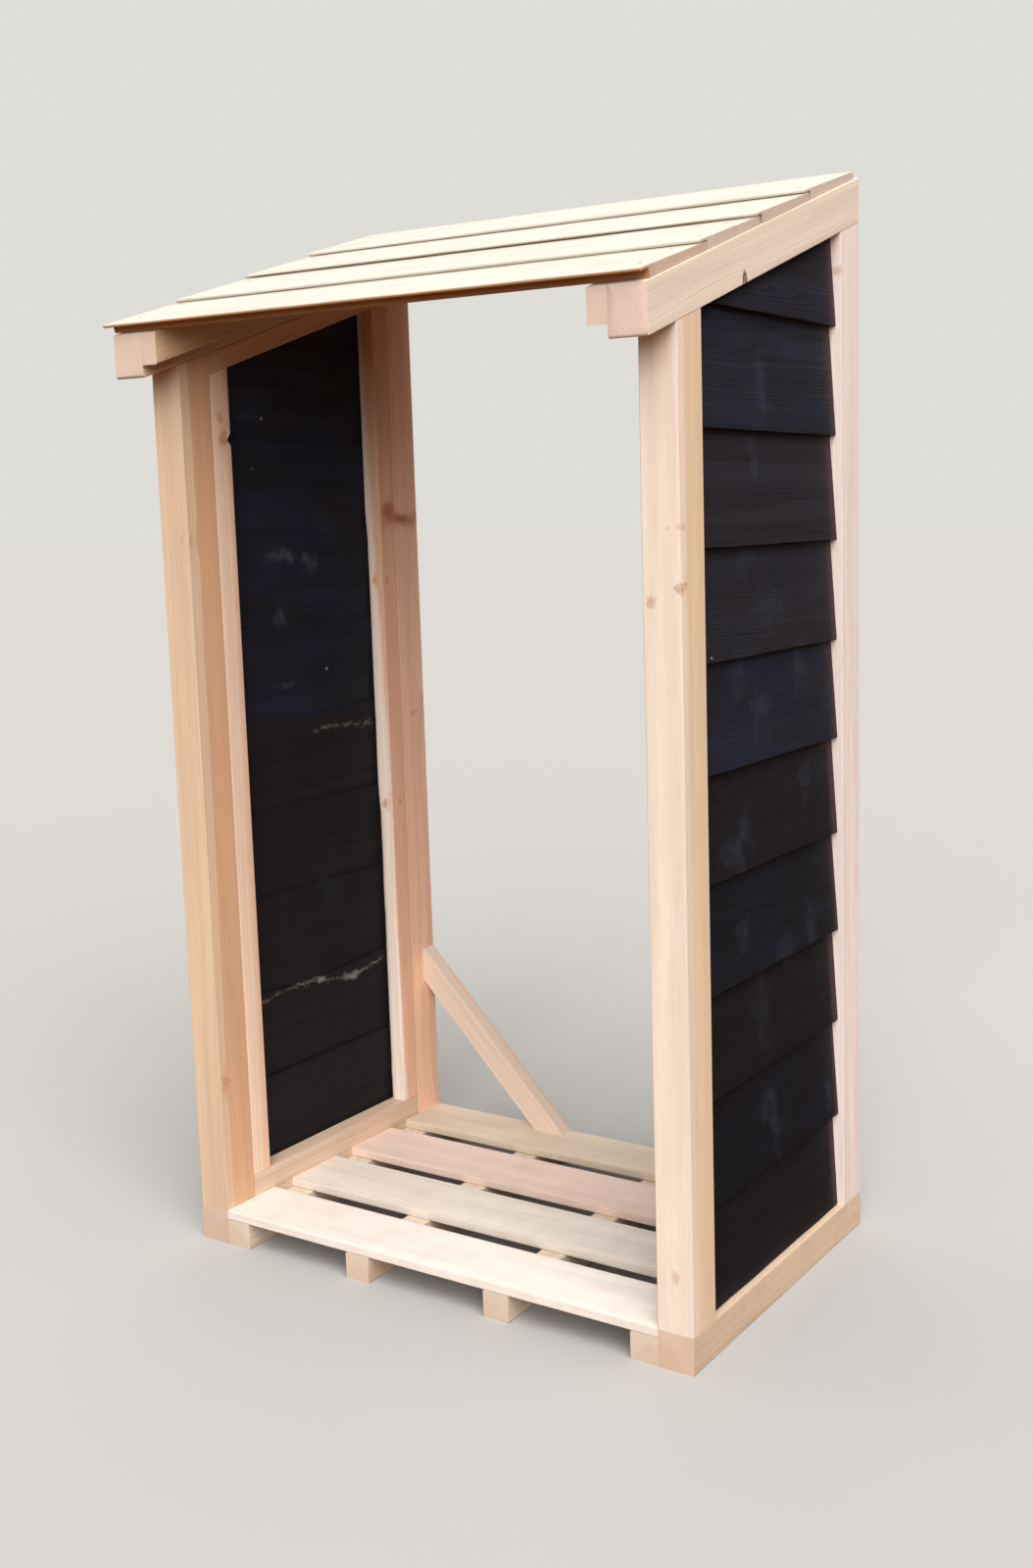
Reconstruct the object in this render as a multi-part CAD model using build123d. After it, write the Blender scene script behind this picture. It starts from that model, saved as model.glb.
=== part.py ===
from build123d import *
import math
import os

# Log store: two timber side frames clad with lapped boards, a slatted floor on
# bearers and a lean-to roof of lapped boards. Open at the front and at the back.
# Millimetres, +Z up. Working frame: X to the right from the left outer face,
# Y back from the front faces of the posts, Z up from the ground.

# Overall sizes
WIDTH = 1036.0  # between the outer faces of the side frames
DEPTH = 632.0  # from the front faces to the rear faces of the posts
FRONT_HEIGHT = 1575.0  # underside of the rafters at the front faces of the posts
ROOF_ANGLE = 18.6  # degrees, falls to the front

# Side frames
POST_ACROSS = 64.0  # post, rail and outer rafter thickness, along X
POST_DEPTH = 72.0  # posts, along Y
RAIL_HEIGHT = 62.0
STUD_ACROSS = 38.0  # stiles and battens, along X, flush with the posts inside
STUD_WIDTH = 44.0
TOP_BATTEN_HEIGHT = 35.0  # square to the slope
TIMBER_EDGE = 2.0  # rounded arrises of planed timber

# Rafters
RAFTER_DEPTH = 70.0  # square to the slope
RAFTER_NOSE = 80.0  # rafter ends in front of the posts
INNER_RAFTER_ACROSS = 34.0
INNER_RAFTER_DEPTH = 50.0
RAFTER_TOE = 5.0  # rounded lower corner of the front end

# Floor
BEARER_WIDTH = 50.0
BEARER_HEIGHT = 47.0
INNER_BEARERS = 2
BEARER_DRIFT = (-7.0, 2.0)  # how far each inner bearer stands from even spacing
FLOOR_THICKNESS = 17.0
FLOOR_BOARD_WIDTH = 126.0
REAR_FLOOR_BOARD_WIDTH = 115.0
FLOOR_BOARDS = 4
FLOOR_EDGE = 2.5  # rounded long edges of the floor boards

# Braces at the back
BRACE_ANGLE = 45.9
BRACE_WIDTH = 50.0
BRACE_THICKNESS = 34.0
BRACE_RISE = 349.0  # upper corner of the brace on the post, above the floor

# Side cladding: tapered boards, thick edge down
CLAD_WIDTH = 198.0
CLAD_LAP = 26.0
CLAD_THICK = 11.0
CLAD_THIN = 3.2
# How far each lower edge lies from even spacing, from the rail up
CLAD_DRIFT = (0.0, -1.5, 1.0, -5.5, -2.5, -7.0, -9.0, -10.0, -7.0, 1.0)

# Roof: wedge boards flat on the rafters, rebated over one another, thick edge to the front
ROOF_BOARD_WIDTH = 198.0
ROOF_THICK = 19.5
ROOF_THIN = 13.0
ROOF_NOSE = 6.5  # front edge of the roof in front of the rafter ends
ROOF_TAIL_INSET = 13.0  # rear edge of the roof in front of the rafters' rear ends
LEAST_LAP = 12.0  # shortest even lap
ROOF_DRIFT = (0.0, -5.0, -2.0)  # how far each front edge lies from even spacing
REBATE_GAP = 2.0  # room in the rebates behind the deepest lap
ROOF_LEFT_OVERHANG = 14.0
ROOF_RIGHT_INSET = 2.0

SEAT = 0.3  # clearance where an edge lies against a face
SPARE = 50.0  # how far cutting shapes run past what they cut

SLOPE = math.tan(math.radians(ROOF_ANGLE))
COSINE = math.cos(math.radians(ROOF_ANGLE))
FLOOR_TOP = BEARER_HEIGHT + FLOOR_THICKNESS
STUD_FACE = POST_ACROSS - STUD_ACROSS  # outer face of the stiles and battens
SLOPE_AXIS = Axis((0, 0, 0), (0, 1, SLOPE))


def under_rafter(y, below=0.0):
    """Height of the rafter's underside at y, or that far square below it."""
    return FRONT_HEIGHT + SLOPE * y - below / COSINE


def block(x, y, z):
    """A box between two values on each axis."""
    size = [end - start for start, end in (x, y, z)]
    middle = [(start + end) / 2 for start, end in (x, y, z)]
    return Pos(*middle) * Box(*size)


def side_face(points, x):
    """A flat Y, Z outline at x."""
    return make_face(Polyline(*[Vector(x, y, z) for y, z in points], close=True))


def side_profile(points, x_from, x_to):
    """A solid with a Y, Z outline between two X values."""
    return extrude(side_face(points, x_from), x_to - x_from, dir=(1, 0, 0))


def front_profile(points, y_from, y_to):
    """A solid with an X, Z outline between two Y values."""
    outline = [Vector(x, y_from, z) for x, z in points]
    return extrude(make_face(Polyline(*outline, close=True)), y_to - y_from, dir=(0, 1, 0))


def eased(solid, axis, radius=TIMBER_EDGE):
    """The solid with the edges along an axis rounded."""
    return fillet(solid.edges().filter_by(axis), radius)


def sloping_outline(y_from, y_to, lower, depth):
    """Outline of a timber along the slope with plumb ends, its lower face at that height at y 0."""
    upper = lower + depth / COSINE
    corners = [(y_from, lower), (y_to, lower), (y_to, upper), (y_from, upper)]
    return [(y, z + SLOPE * y) for y, z in corners]


def rail():
    return eased(block((0, POST_ACROSS), (0, DEPTH), (0, RAIL_HEIGHT)), Axis.Y)


def post(y_from):
    y_to = y_from + POST_DEPTH
    outline = [(y_from, RAIL_HEIGHT), (y_to, RAIL_HEIGHT)]
    outline += [(y_to, under_rafter(y_to)), (y_from, under_rafter(y_from))]
    return eased(side_profile(outline, 0, POST_ACROSS), Axis.Z)


def outer_rafter():
    face = side_face(sloping_outline(-RAFTER_NOSE, DEPTH, FRONT_HEIGHT, RAFTER_DEPTH), 0)
    face = fillet(face.vertices().sort_by(Axis.Z)[0], RAFTER_TOE)
    return eased(extrude(face, POST_ACROSS, dir=(1, 0, 0)), SLOPE_AXIS)


def inner_rafter():
    lower = FRONT_HEIGHT + (RAFTER_DEPTH - INNER_RAFTER_DEPTH) / COSINE
    x_to = POST_ACROSS + INNER_RAFTER_ACROSS
    outline = sloping_outline(-RAFTER_NOSE, DEPTH, lower, INNER_RAFTER_DEPTH)
    return eased(side_profile(outline, POST_ACROSS, x_to), SLOPE_AXIS)


def bottom_batten():
    y = (POST_DEPTH, DEPTH - POST_DEPTH)
    return eased(block((STUD_FACE, POST_ACROSS), y, (RAIL_HEIGHT, RAIL_HEIGHT + STUD_WIDTH)), Axis.Y)


def top_batten():
    lower = under_rafter(0, TOP_BATTEN_HEIGHT)
    outline = sloping_outline(POST_DEPTH, DEPTH - POST_DEPTH, lower, TOP_BATTEN_HEIGHT)
    return eased(side_profile(outline, STUD_FACE, POST_ACROSS), SLOPE_AXIS)


def stile(y_from):
    y_to = y_from + STUD_WIDTH
    foot = RAIL_HEIGHT + STUD_WIDTH
    outline = [(y_from, foot), (y_to, foot)]
    outline += [(y, under_rafter(y, TOP_BATTEN_HEIGHT)) for y in (y_to, y_from)]
    return eased(side_profile(outline, STUD_FACE, POST_ACROSS), Axis.Z)


def drift(steps, number):
    """How far a board lies from even spacing: nothing where no value is given."""
    return steps[number] if number < len(steps) else 0.0


def lapped_sections(starts, width, lift, thick, thin):
    """Corners of lapped tapered boards as (along, out) from the face that carries them.

    Each board's thin edge lies against that face and its thick edge lies on the
    board before it; the first one is lifted by what is given.
    """
    sections = []
    for start, following in zip(starts, starts[1:] + [None]):
        sections.append([(start, lift), (start + width, SEAT), (start + width, thin), (start, lift + thick)])
        if following is not None:
            share = (following - start) / width
            lift = (lift + thick) * (1 - share) + thin * share + SEAT
    return sections


def side_opening():
    """The space of one side frame that its boards fill."""
    y_from = POST_DEPTH
    y_to = DEPTH - POST_DEPTH
    outline = [(y_from, RAIL_HEIGHT), (y_to, RAIL_HEIGHT)]
    outline += [(y_to, under_rafter(y_to)), (y_from, under_rafter(y_from))]
    return side_profile(outline, -SPARE, STUD_FACE)


def cladding():
    """Lapped boards from the rail up, each cut to the posts and the rafter."""
    opening = side_opening()
    top = under_rafter(DEPTH - POST_DEPTH)
    pitch = CLAD_WIDTH - CLAD_LAP
    count = math.ceil((top - RAIL_HEIGHT) / pitch)
    starts = [RAIL_HEIGHT + pitch * i + drift(CLAD_DRIFT, i) for i in range(count)]
    boards = []
    for section in lapped_sections(starts, CLAD_WIDTH, CLAD_THIN, CLAD_THICK, CLAD_THIN):
        outline = [(STUD_FACE - out, height) for height, out in section]
        boards.append(front_profile(outline, 0, DEPTH) & opening)
    return boards


def brace():
    """The left brace: plumb against the post, level on the floor."""
    tangent = math.tan(math.radians(BRACE_ANGLE))
    across = BRACE_WIDTH / math.cos(math.radians(BRACE_ANGLE))
    top = FLOOR_TOP + BRACE_RISE
    foot = POST_ACROSS + BRACE_RISE / tangent
    outline = [(POST_ACROSS, top), (POST_ACROSS, top - across)]
    outline += [(foot - across / tangent, FLOOR_TOP), (foot, FLOOR_TOP)]
    along = Axis((0, 0, 0), (1, 0, -tangent))
    return eased(front_profile(outline, DEPTH - BRACE_THICKNESS, DEPTH), along)


def bearer_places():
    """Left edges of the bearers, the outer ones against the rails."""
    first = POST_ACROSS
    last = WIDTH - POST_ACROSS - BEARER_WIDTH
    step = (last - first) / (INNER_BEARERS + 1)
    inner = [first + step * (i + 1) + BEARER_DRIFT[i] for i in range(INNER_BEARERS)]
    return [first] + inner + [last]


def bearer(x):
    return eased(block((x, x + BEARER_WIDTH), (0, DEPTH), (0, BEARER_HEIGHT)), Axis.Y)


def floor_boards():
    """Boards across the bearers, from the front to the back with even gaps."""
    widths = [FLOOR_BOARD_WIDTH] * (FLOOR_BOARDS - 1) + [REAR_FLOOR_BOARD_WIDTH]
    gap = (DEPTH - sum(widths)) / (FLOOR_BOARDS - 1)
    x = (POST_ACROSS, WIDTH - POST_ACROSS)
    boards = []
    y = 0.0
    for width in widths:
        boards.append(eased(block(x, (y, y + width), (BEARER_HEIGHT, FLOOR_TOP)), Axis.X, FLOOR_EDGE))
        y += width + gap
    return boards


def on_slope(points):
    """Y, Z of points given along and square to the rafter tops, from their front ends."""
    top = FRONT_HEIGHT - SLOPE * RAFTER_NOSE + RAFTER_DEPTH / COSINE
    sine = SLOPE * COSINE
    return [(-RAFTER_NOSE + s * COSINE - n * sine, top + s * sine + n * COSINE) for s, n in points]


def roof_starts():
    """Front edges of the roof boards along the slope, from the rafters' front ends."""
    front = -ROOF_NOSE
    run = (RAFTER_NOSE + DEPTH) / COSINE - ROOF_TAIL_INSET - front
    count = math.ceil((run - LEAST_LAP) / (ROOF_BOARD_WIDTH - LEAST_LAP))
    pitch = (run - ROOF_BOARD_WIDTH) / (count - 1)
    return [front + pitch * i + drift(ROOF_DRIFT, i) for i in range(count)]


def roof_boards():
    """Boards whose front edges reach over the rear edge of the board before."""
    starts = roof_starts()
    lap = max(start + ROOF_BOARD_WIDTH - following for start, following in zip(starts, starts[1:]))
    rebate = lap + REBATE_GAP
    lip = ROOF_THIN + (ROOF_THICK - ROOF_THIN) * lap / ROOF_BOARD_WIDTH + SEAT
    x_to = WIDTH - ROOF_RIGHT_INSET
    boards = []
    for start in starts:
        rear = start + ROOF_BOARD_WIDTH
        section = [(start, lip), (start + rebate, lip), (start + rebate, SEAT)]
        section += [(rear, SEAT), (rear, ROOF_THIN), (start, ROOF_THICK)]
        boards.append(side_profile(on_slope(section), -ROOF_LEFT_OVERHANG, x_to))
    return boards


def side_frame():
    """Named pieces of the left side."""
    rear = DEPTH - POST_DEPTH
    boards = cladding()
    return {
        "bottom_rail": rail(),
        "front_post": post(0),
        "rear_post": post(rear),
        "outer_rafter": outer_rafter(),
        "inner_rafter": inner_rafter(),
        "bottom_batten": bottom_batten(),
        "top_batten": top_batten(),
        "front_stile": stile(POST_DEPTH),
        "rear_stile": stile(rear - STUD_WIDTH),
        "odd_boards": Compound(boards[0::2]),
        "even_boards": Compound(boards[1::2]),
        "brace": brace(),
    }


def log_store():
    """All nodes by name, in the working frame."""
    nodes = {}
    middle = Plane.YZ.offset(WIDTH / 2)
    for name, piece in side_frame().items():
        nodes["left_" + name] = piece
        nodes["right_" + name] = mirror(piece, about=middle)
    for number, x in enumerate(bearer_places(), 1):
        nodes[f"floor_bearer_{number}"] = bearer(x)
    for number, board in enumerate(floor_boards(), 1):
        nodes[f"floor_board_{number}"] = board
    for number, board in enumerate(roof_boards(), 1):
        nodes[f"roof_board_{number}"] = board
    return nodes


def write_nodes(nodes):
    """One file per node, with the origin under the middle of the whole."""
    box = Compound(list(nodes.values())).bounding_box()
    middle = box.center()
    shift = Location((-middle.X, -middle.Y, -box.min.Z))
    os.makedirs("parts", exist_ok=True)
    for name, piece in nodes.items():
        export_step(shift * piece, f"parts/{name}.step")
    print("overall size", [round(value, 1) for value in box.size])
    print("left outer face at x", round(-middle.X, 2), "post fronts at y", round(-middle.Y, 2))


write_nodes(log_store())
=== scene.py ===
import logging
import math
from dataclasses import dataclass
from enum import Enum
from functools import cached_property
from typing import Mapping, Sequence

import bpy
import numpy as np
from mathutils import Euler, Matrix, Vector


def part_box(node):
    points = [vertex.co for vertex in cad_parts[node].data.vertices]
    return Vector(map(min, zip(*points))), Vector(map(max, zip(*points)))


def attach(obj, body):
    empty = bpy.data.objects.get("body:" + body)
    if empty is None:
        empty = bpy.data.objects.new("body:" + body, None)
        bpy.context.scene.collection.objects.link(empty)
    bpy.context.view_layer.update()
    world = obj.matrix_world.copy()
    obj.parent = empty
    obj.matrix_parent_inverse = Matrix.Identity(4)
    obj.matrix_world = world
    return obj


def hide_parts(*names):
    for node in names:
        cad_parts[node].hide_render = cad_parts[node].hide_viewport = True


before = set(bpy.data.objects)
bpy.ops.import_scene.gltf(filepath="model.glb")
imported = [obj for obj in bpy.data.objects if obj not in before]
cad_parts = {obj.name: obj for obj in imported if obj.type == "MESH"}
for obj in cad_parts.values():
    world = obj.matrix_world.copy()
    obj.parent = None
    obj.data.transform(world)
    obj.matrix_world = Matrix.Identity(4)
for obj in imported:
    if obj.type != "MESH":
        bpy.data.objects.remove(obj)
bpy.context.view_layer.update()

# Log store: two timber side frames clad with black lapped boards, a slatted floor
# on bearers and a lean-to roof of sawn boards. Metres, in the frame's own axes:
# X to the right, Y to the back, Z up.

LOG = logging.getLogger("log_store")
BODY = "root"
ROOF_ANGLE = math.radians(18.6)
BRACE_ANGLE = math.radians(45.9)
# Rows: along the roof's slope to the back, and square to it, both in Y and Z.
SLOPE_AXES = np.array([[math.cos(ROOF_ANGLE), math.sin(ROOF_ANGLE)],
                       [-math.sin(ROOF_ANGLE), math.cos(ROOF_ANGLE)]])

Colour = tuple[float, float, float, float]
Place = tuple[float, float, float]
Feed = object

ORIGIN = (0.0, 0.0, 0.0)
UPWARD = (0.0, 0.0, 1.0)
FRONTWARD = (0.0, -1.0, 0.0)
RIGHTWARD = (1.0, 0.0, 0.0)
ARRISWARD = (0.7071, -0.7071, 0.0)
WITHOUT_X = (0.0, 1.0, 1.0)
MIDDLE_OF_NOISE = (0.5, 0.5, 0.5)

# Names of the attributes on a piece's points.
GRAIN, TONE, SHADE, AMBER = "grain", "tone", "shade", "amber"


def screen(red: int, green: int, blue: int) -> Colour:
    """A colour given as screen values from 0 to 255, in linear light.

    Each value v becomes ((v / 255 + 0.055) / 1.055) to the power 2.4.

    Args:
        red: The screen's red.
        green: Its green.
        blue: Its blue.

    Returns:
        Red, green, blue and an alpha of 1.
    """
    return (*(((v / 255 + 0.055) / 1.055) ** 2.4 for v in (red, green, blue)), 1.0)


KNOT_CORE = screen(172, 116, 78)
KNOT_RIM = screen(112, 70, 46)
# Amber of the painted shade on the lips of the roof boards.
AMBER_SHADE = screen(174, 120, 62)
# Painted shade that darkens the rounded arrises.
ARRIS_SHADE = screen(164, 134, 108)
# Colour of the painted shade in front of each lap of the roof boards.
LAP_SHADE = screen(128, 118, 96)
DAMP = screen(160, 138, 104)


class Slot(Enum):
    """Material slots of the record, passed along with new pieces, which don't set them."""

    FRAME = "frame_timber"
    ROOF = "roof_timber"
    BLACK = "black_boards"


class Lie(Enum):
    """How a timber lies: Euler angles that turn the X axis onto its length."""

    UPRIGHT = (0.0, -math.pi / 2, 0.0)
    BACKWARD = (0.0, 0.0, math.pi / 2)
    SIDEWAYS = (0.0, 0.0, 0.0)
    SLOPING = (0.0, -ROOF_ANGLE, math.pi / 2)
    FALLING = (0.0, BRACE_ANGLE, 0.0)
    RISING = (0.0, -BRACE_ANGLE, 0.0)

    def turn(self) -> np.ndarray:
        """The rotation as a 3 x 3 array whose columns are the timber's own axes."""
        return np.array(Euler(self.value).to_matrix())


class Side(Enum):
    """The two side frames: each one's word in names, and its outward direction along X."""

    LEFT = ("left", -1.0)
    RIGHT = ("right", 1.0)

    @property
    def label(self) -> str:
        """The side's word in the names of its nodes."""
        return self.value[0]

    @property
    def outward(self) -> float:
        """Minus one or one, along X."""
        return self.value[1]


@dataclass(frozen=True)
class Wire:
    """What comes out of a socket. Arithmetic with it adds nodes to its graph.

    Attributes:
        graph: The graph that the socket is in.
        socket: The output socket.
    """

    graph: "Graph"
    socket: bpy.types.NodeSocket

    def work(self, operation: str, *others: Feed) -> "Wire":
        """Adds a Math node, or a Vector Math node where this is a vector.

        Args:
            operation: Blender's name of the operation.
            others: The operation's other values.

        Returns:
            The result, a number for a length or a dot product.
        """
        feeds = dict(enumerate((self, *others)))
        if self.socket.type == "VALUE":
            return self.graph.wire("ShaderNodeMath", feeds, operation=operation)
        output = "Value" if operation in ("LENGTH", "DOT_PRODUCT") else "Vector"
        return self.graph.wire("ShaderNodeVectorMath", feeds, output, operation=operation)

    def __add__(self, other: Feed) -> "Wire":
        """The sum of both."""
        return self.work("ADD", other)

    def __sub__(self, other: Feed) -> "Wire":
        """This less the other."""
        return self.work("SUBTRACT", other)

    def __truediv__(self, other: Feed) -> "Wire":
        """This over the other, part by part for vectors."""
        return self.work("DIVIDE", other)

    def __abs__(self) -> "Wire":
        """This without its sign, part by part for a vector."""
        return self.work("ABSOLUTE")

    def __mul__(self, other: Feed) -> "Wire":
        """This times the other, part by part where both are vectors.

        Args:
            other: A number or a vector.

        Returns:
            The product.
        """
        parted = isinstance(other, tuple) or isinstance(other, Wire) and other.socket.type != "VALUE"
        if self.socket.type == "VALUE" or parted:
            return self.work("MULTIPLY", other)
        feeds = {0: self, "Scale": other}
        return self.graph.wire("ShaderNodeVectorMath", feeds, "Vector", operation="SCALE")

    def dot(self, other: Feed) -> "Wire":
        """The dot product of two vectors."""
        return self.work("DOT_PRODUCT", other)

    def length(self) -> "Wire":
        """A vector's length."""
        return self.work("LENGTH")

    def most(self, other: Feed) -> "Wire":
        """The greater of two numbers."""
        return self.work("MAXIMUM", other)

    def part(self, axis: str) -> "Wire":
        """A vector's X, Y or Z."""
        return self.graph.wire("ShaderNodeSeparateXYZ", {0: self}, axis)

    def step(self, low: Feed, high: Feed, start: Feed = 0.0, end: Feed = 1.0) -> "Wire":
        """A smooth step from start to end while this goes from low to high."""
        feeds = {0: self, 1: low, 2: high, 3: start, 4: end}
        return self.graph.wire("ShaderNodeMapRange", feeds, interpolation_type="SMOOTHSTEP")


class Graph:
    """Adds nodes to one tree and wires them."""

    def __init__(self, tree: bpy.types.NodeTree) -> None:
        """Works on the given tree."""
        self.tree = tree

    def node(self, kind: str, feeds: Mapping[str | int, Feed] | None = None,
             **settings: object) -> bpy.types.Node:
        """Adds a node.

        Args:
            kind: Blender's name of the node's type.
            feeds: A wire or a constant for each named or numbered input.
            settings: Values for the node's own properties.

        Returns:
            The new node.
        """
        node = self.tree.nodes.new(kind)
        for name, value in settings.items():
            setattr(node, name, value)
        for name, value in (feeds or {}).items():
            if isinstance(value, Wire):
                self.tree.links.new(value.socket, node.inputs[name])
            else:
                node.inputs[name].default_value = value
        return node

    def wire(self, kind: str, feeds: Mapping[str | int, Feed] | None = None, output: str | int = 0,
             **settings: object) -> Wire:
        """Adds a node, with node's arguments, and takes up one of its outputs."""
        return Wire(self, self.node(kind, feeds, **settings).outputs[output])

    @cached_property
    def here(self) -> Wire:
        """The point's Object coordinates."""
        return self.wire("ShaderNodeTexCoord", output="Object")

    @cached_property
    def normal(self) -> Wire:
        """The way the face looks."""
        return self.wire("ShaderNodeTexCoord", output="Normal")

    def stored(self, name: str, output: str) -> Wire:
        """An attribute of the piece's points, as a Vector, a Color or a number, its Fac."""
        return self.wire("ShaderNodeAttribute", output=output, attribute_name=name)

    def noise(self, place: Feed, scale: float = 1.0, detail: float = 2.0, output: str | int = 0) -> Wire:
        """A noise texture over a place."""
        return self.wire("ShaderNodeTexNoise", {"Vector": place, "Scale": scale, "Detail": detail}, output)

    def noise_along(self, distance: Feed, scale: float = 1.0) -> Wire:
        """A noise texture over a number."""
        return self.wire("ShaderNodeTexNoise", {"W": distance, "Scale": scale}, noise_dimensions="1D")

    def mix(self, share: Feed, first: Feed, second: Feed, blend: str = "MIX") -> Wire:
        """Two colours mixed: the second one's share is given."""
        feeds = {0: share, 6: first, 7: second}
        return self.wire("ShaderNodeMix", feeds, 2, data_type="RGBA", blend_type=blend)

    def tinted(self, colour: Feed, factor: Feed) -> Wire:
        """A colour times a number or another colour."""
        return self.mix(1.0, colour, factor, "MULTIPLY")

    def surface(self, colour: Feed, rough: Feed, relief: Feed, strength: float, depth: float,
                **own: float) -> None:
        """Ends a material in a Principled shader with a bump.

        Args:
            colour: The base colour.
            rough: The roughness.
            relief: The height that the bump follows.
            strength: The bump's strength.
            depth: The bump's distance in metres.
            own: Constants for the shader's own sockets, with _ for each space.
        """
        bump = self.wire("ShaderNodeBump", {"Strength": strength, "Distance": depth, "Height": relief})
        feeds = {"Base Color": colour, "Roughness": rough, "Normal": bump}
        feeds.update({name.replace("_", " "): value for name, value in own.items()})
        self.node("ShaderNodeOutputMaterial", {"Surface": self.wire("ShaderNodeBsdfPrincipled", feeds)})


class Effect:
    """A shader node group with named inputs and outputs, built once and placed in materials."""

    def __init__(self, name: str, takes: Mapping[str, float | tuple], gives: Sequence[str]) -> None:
        """Makes the group's sockets.

        Args:
            name: The group's name.
            takes: Inputs with their usual values, numbers or vectors.
            gives: Outputs, all of them numbers.
        """
        self.tree = bpy.data.node_groups.new(name, "ShaderNodeTree")
        for socket, value in takes.items():
            kind = "NodeSocketVector" if isinstance(value, tuple) else "NodeSocketFloat"
            made = self.tree.interface.new_socket(name=socket, in_out="INPUT", socket_type=kind)
            made.default_value = value
        for socket in gives:
            self.tree.interface.new_socket(name=socket, in_out="OUTPUT", socket_type="NodeSocketFloat")
        self.graph = Graph(self.tree)
        outputs = self.graph.node("NodeGroupInput").outputs
        self.takes = {name: Wire(self.graph, outputs[name]) for name in takes}

    def give(self, **values: Wire) -> None:
        """Wires the group's outputs, each by its name."""
        self.graph.node("NodeGroupOutput", values)

    def place(self, graph: Graph, feeds: Mapping[str, Feed]) -> Mapping[str, Wire]:
        """Puts the effect in a material and returns its outputs by name."""
        node = graph.node("ShaderNodeGroup", feeds, node_tree=self.tree)
        return {socket.name: Wire(graph, socket) for socket in node.outputs}


class TimberFigure(Effect):
    """Growth rings, heartwood, streaks and fibres.

    The place's X axis runs along the tree, and its origin is on the pith. The
    distance from the pith, bent by slow noise and less the swelling round knots,
    is divided by the ring width: its fraction rises slowly to the dark latewood
    and drops at once to the next year's pale wood.
    """

    # Noise scales along and twice across the tree.
    SLOW_BEND, QUICK_BEND = (1.6, 6.0, 6.0), (9.0, 30.0, 30.0)
    STREAK, FIBRE = (1.8, 34.0, 34.0), (12.0, 900.0, 900.0)
    QUICK_SHARE = 0.08
    SEASON_SCALE, SEASON_CHANGE = 140.0, 1.6
    HEART_EDGE = 0.004

    def __init__(self) -> None:
        """Builds the group."""
        takes = {"Place": ORIGIN, "Swelling": 0.0, "Ring Width": 0.004, "Wander": 0.01, "Heart Radius": 0.05}
        super().__init__("timber_figure", takes, ("Rings", "Heart", "Streaks", "Fibre"))
        g, place, wander = self.graph, self.takes["Place"], self.takes["Wander"] * 2.0
        slow = g.noise(place * self.SLOW_BEND, output="Color") - MIDDLE_OF_NOISE
        quick = g.noise(place * self.QUICK_BEND, output="Color") - MIDDLE_OF_NOISE
        bent = place + slow * wander + quick * (wander * self.QUICK_SHARE)
        distance = (bent * WITHOUT_X).length() - self.takes["Swelling"]
        seasons = g.noise_along(distance, self.SEASON_SCALE) * self.SEASON_CHANGE
        years = distance / self.takes["Ring Width"] + seasons
        season = years.work("FRACT")
        year = g.wire("ShaderNodeTexWhiteNoise", {"W": years.work("FLOOR")}, "Value", noise_dimensions="1D")
        late = season.step(0.2, 0.88) * season.step(0.92, 1.0, 1.0, 0.0) * year.step(0.0, 1.0, 0.45, 1.0)
        edge = distance - self.takes["Heart Radius"]
        self.give(Rings=late, Heart=edge.step(-self.HEART_EDGE, self.HEART_EDGE, 1.0, 0.0),
                  Streaks=g.noise(place * self.STREAK, detail=3.0), Fibre=g.noise(place * self.FIBRE))


class KnotFigure(Effect):
    """One knot, added to what the knots before it give.

    The knot is a round branch along the outward axis. Distances from that axis are
    counted in knot radii, made uneven by noise. The swelling, a bell curve of
    that distance, bends the growth rings round the knot. Reach is how deep below
    the face the knot still shows.
    """

    OVAL = (0.8, 1.0, 1.0)
    WOBBLE_SCALE, RIM_SCALE = 110.0, 75.0
    BELL_FALL, BELL_HEIGHT = -0.16, 1.3

    def __init__(self) -> None:
        """Builds the group."""
        takes = {"Place": ORIGIN, "Centre": ORIGIN, "Outward": UPWARD, "Radius": 0.008, "Reach": 0.03,
                 "Dark": 0.6, "Swelling": 0.0, "Core": 0.0, "Rim": 0.0}
        super().__init__("knot_figure", takes, ("Swelling", "Core", "Rim"))
        g, into = self.graph, self.takes
        offset = into["Place"] - into["Centre"]
        depth = offset.dot(into["Outward"])
        flat = (offset - into["Outward"] * depth) * self.OVAL
        wobble = g.noise(into["Place"], self.WOBBLE_SCALE, 3.0)
        away = flat.length() / into["Radius"] * wobble.step(0.25, 0.75, 0.65, 1.35)
        reach = into["Reach"] * -1.0
        near = depth.step(reach, reach * 0.5)
        shown = near * into["Dark"]
        band = away.step(0.6, 1.0, 0.0, 0.6) * away.step(0.9, 1.4, 1.0, 0.0)
        band = band * g.noise(into["Place"], self.RIM_SCALE).step(0.42, 0.62)
        bell = (away * away * self.BELL_FALL).work("EXPONENT") * near * into["Radius"]
        self.give(Swelling=bell * self.BELL_HEIGHT + into["Swelling"],
                  Core=(away.step(0.2, 1.4, 1.0, 0.0) * shown).most(into["Core"]),
                  Rim=(band * shown).most(into["Rim"]))


class SawMarks(Effect):
    """The marks of a band saw: fine ridges across the board, a little aslant, that come and go."""

    ASLANT = (1.0, 0.07, 0.07)
    PATCHES, FUZZ = (9.0, 14.0, 14.0), (160.0, 420.0, 420.0)

    def __init__(self) -> None:
        """Builds the group."""
        super().__init__("saw_marks", {"Place": ORIGIN, "Spacing": 0.005}, ("Ridges", "Fuzz"))
        g, place = self.graph, self.takes["Place"]
        strokes = g.noise_along(place.dot(self.ASLANT) / self.takes["Spacing"])
        patches = g.noise(place * self.PATCHES).step(0.35, 0.65, 0.25, 1.0)
        self.give(Ridges=strokes * patches, Fuzz=g.noise(place * self.FUZZ, detail=3.0))


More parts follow.
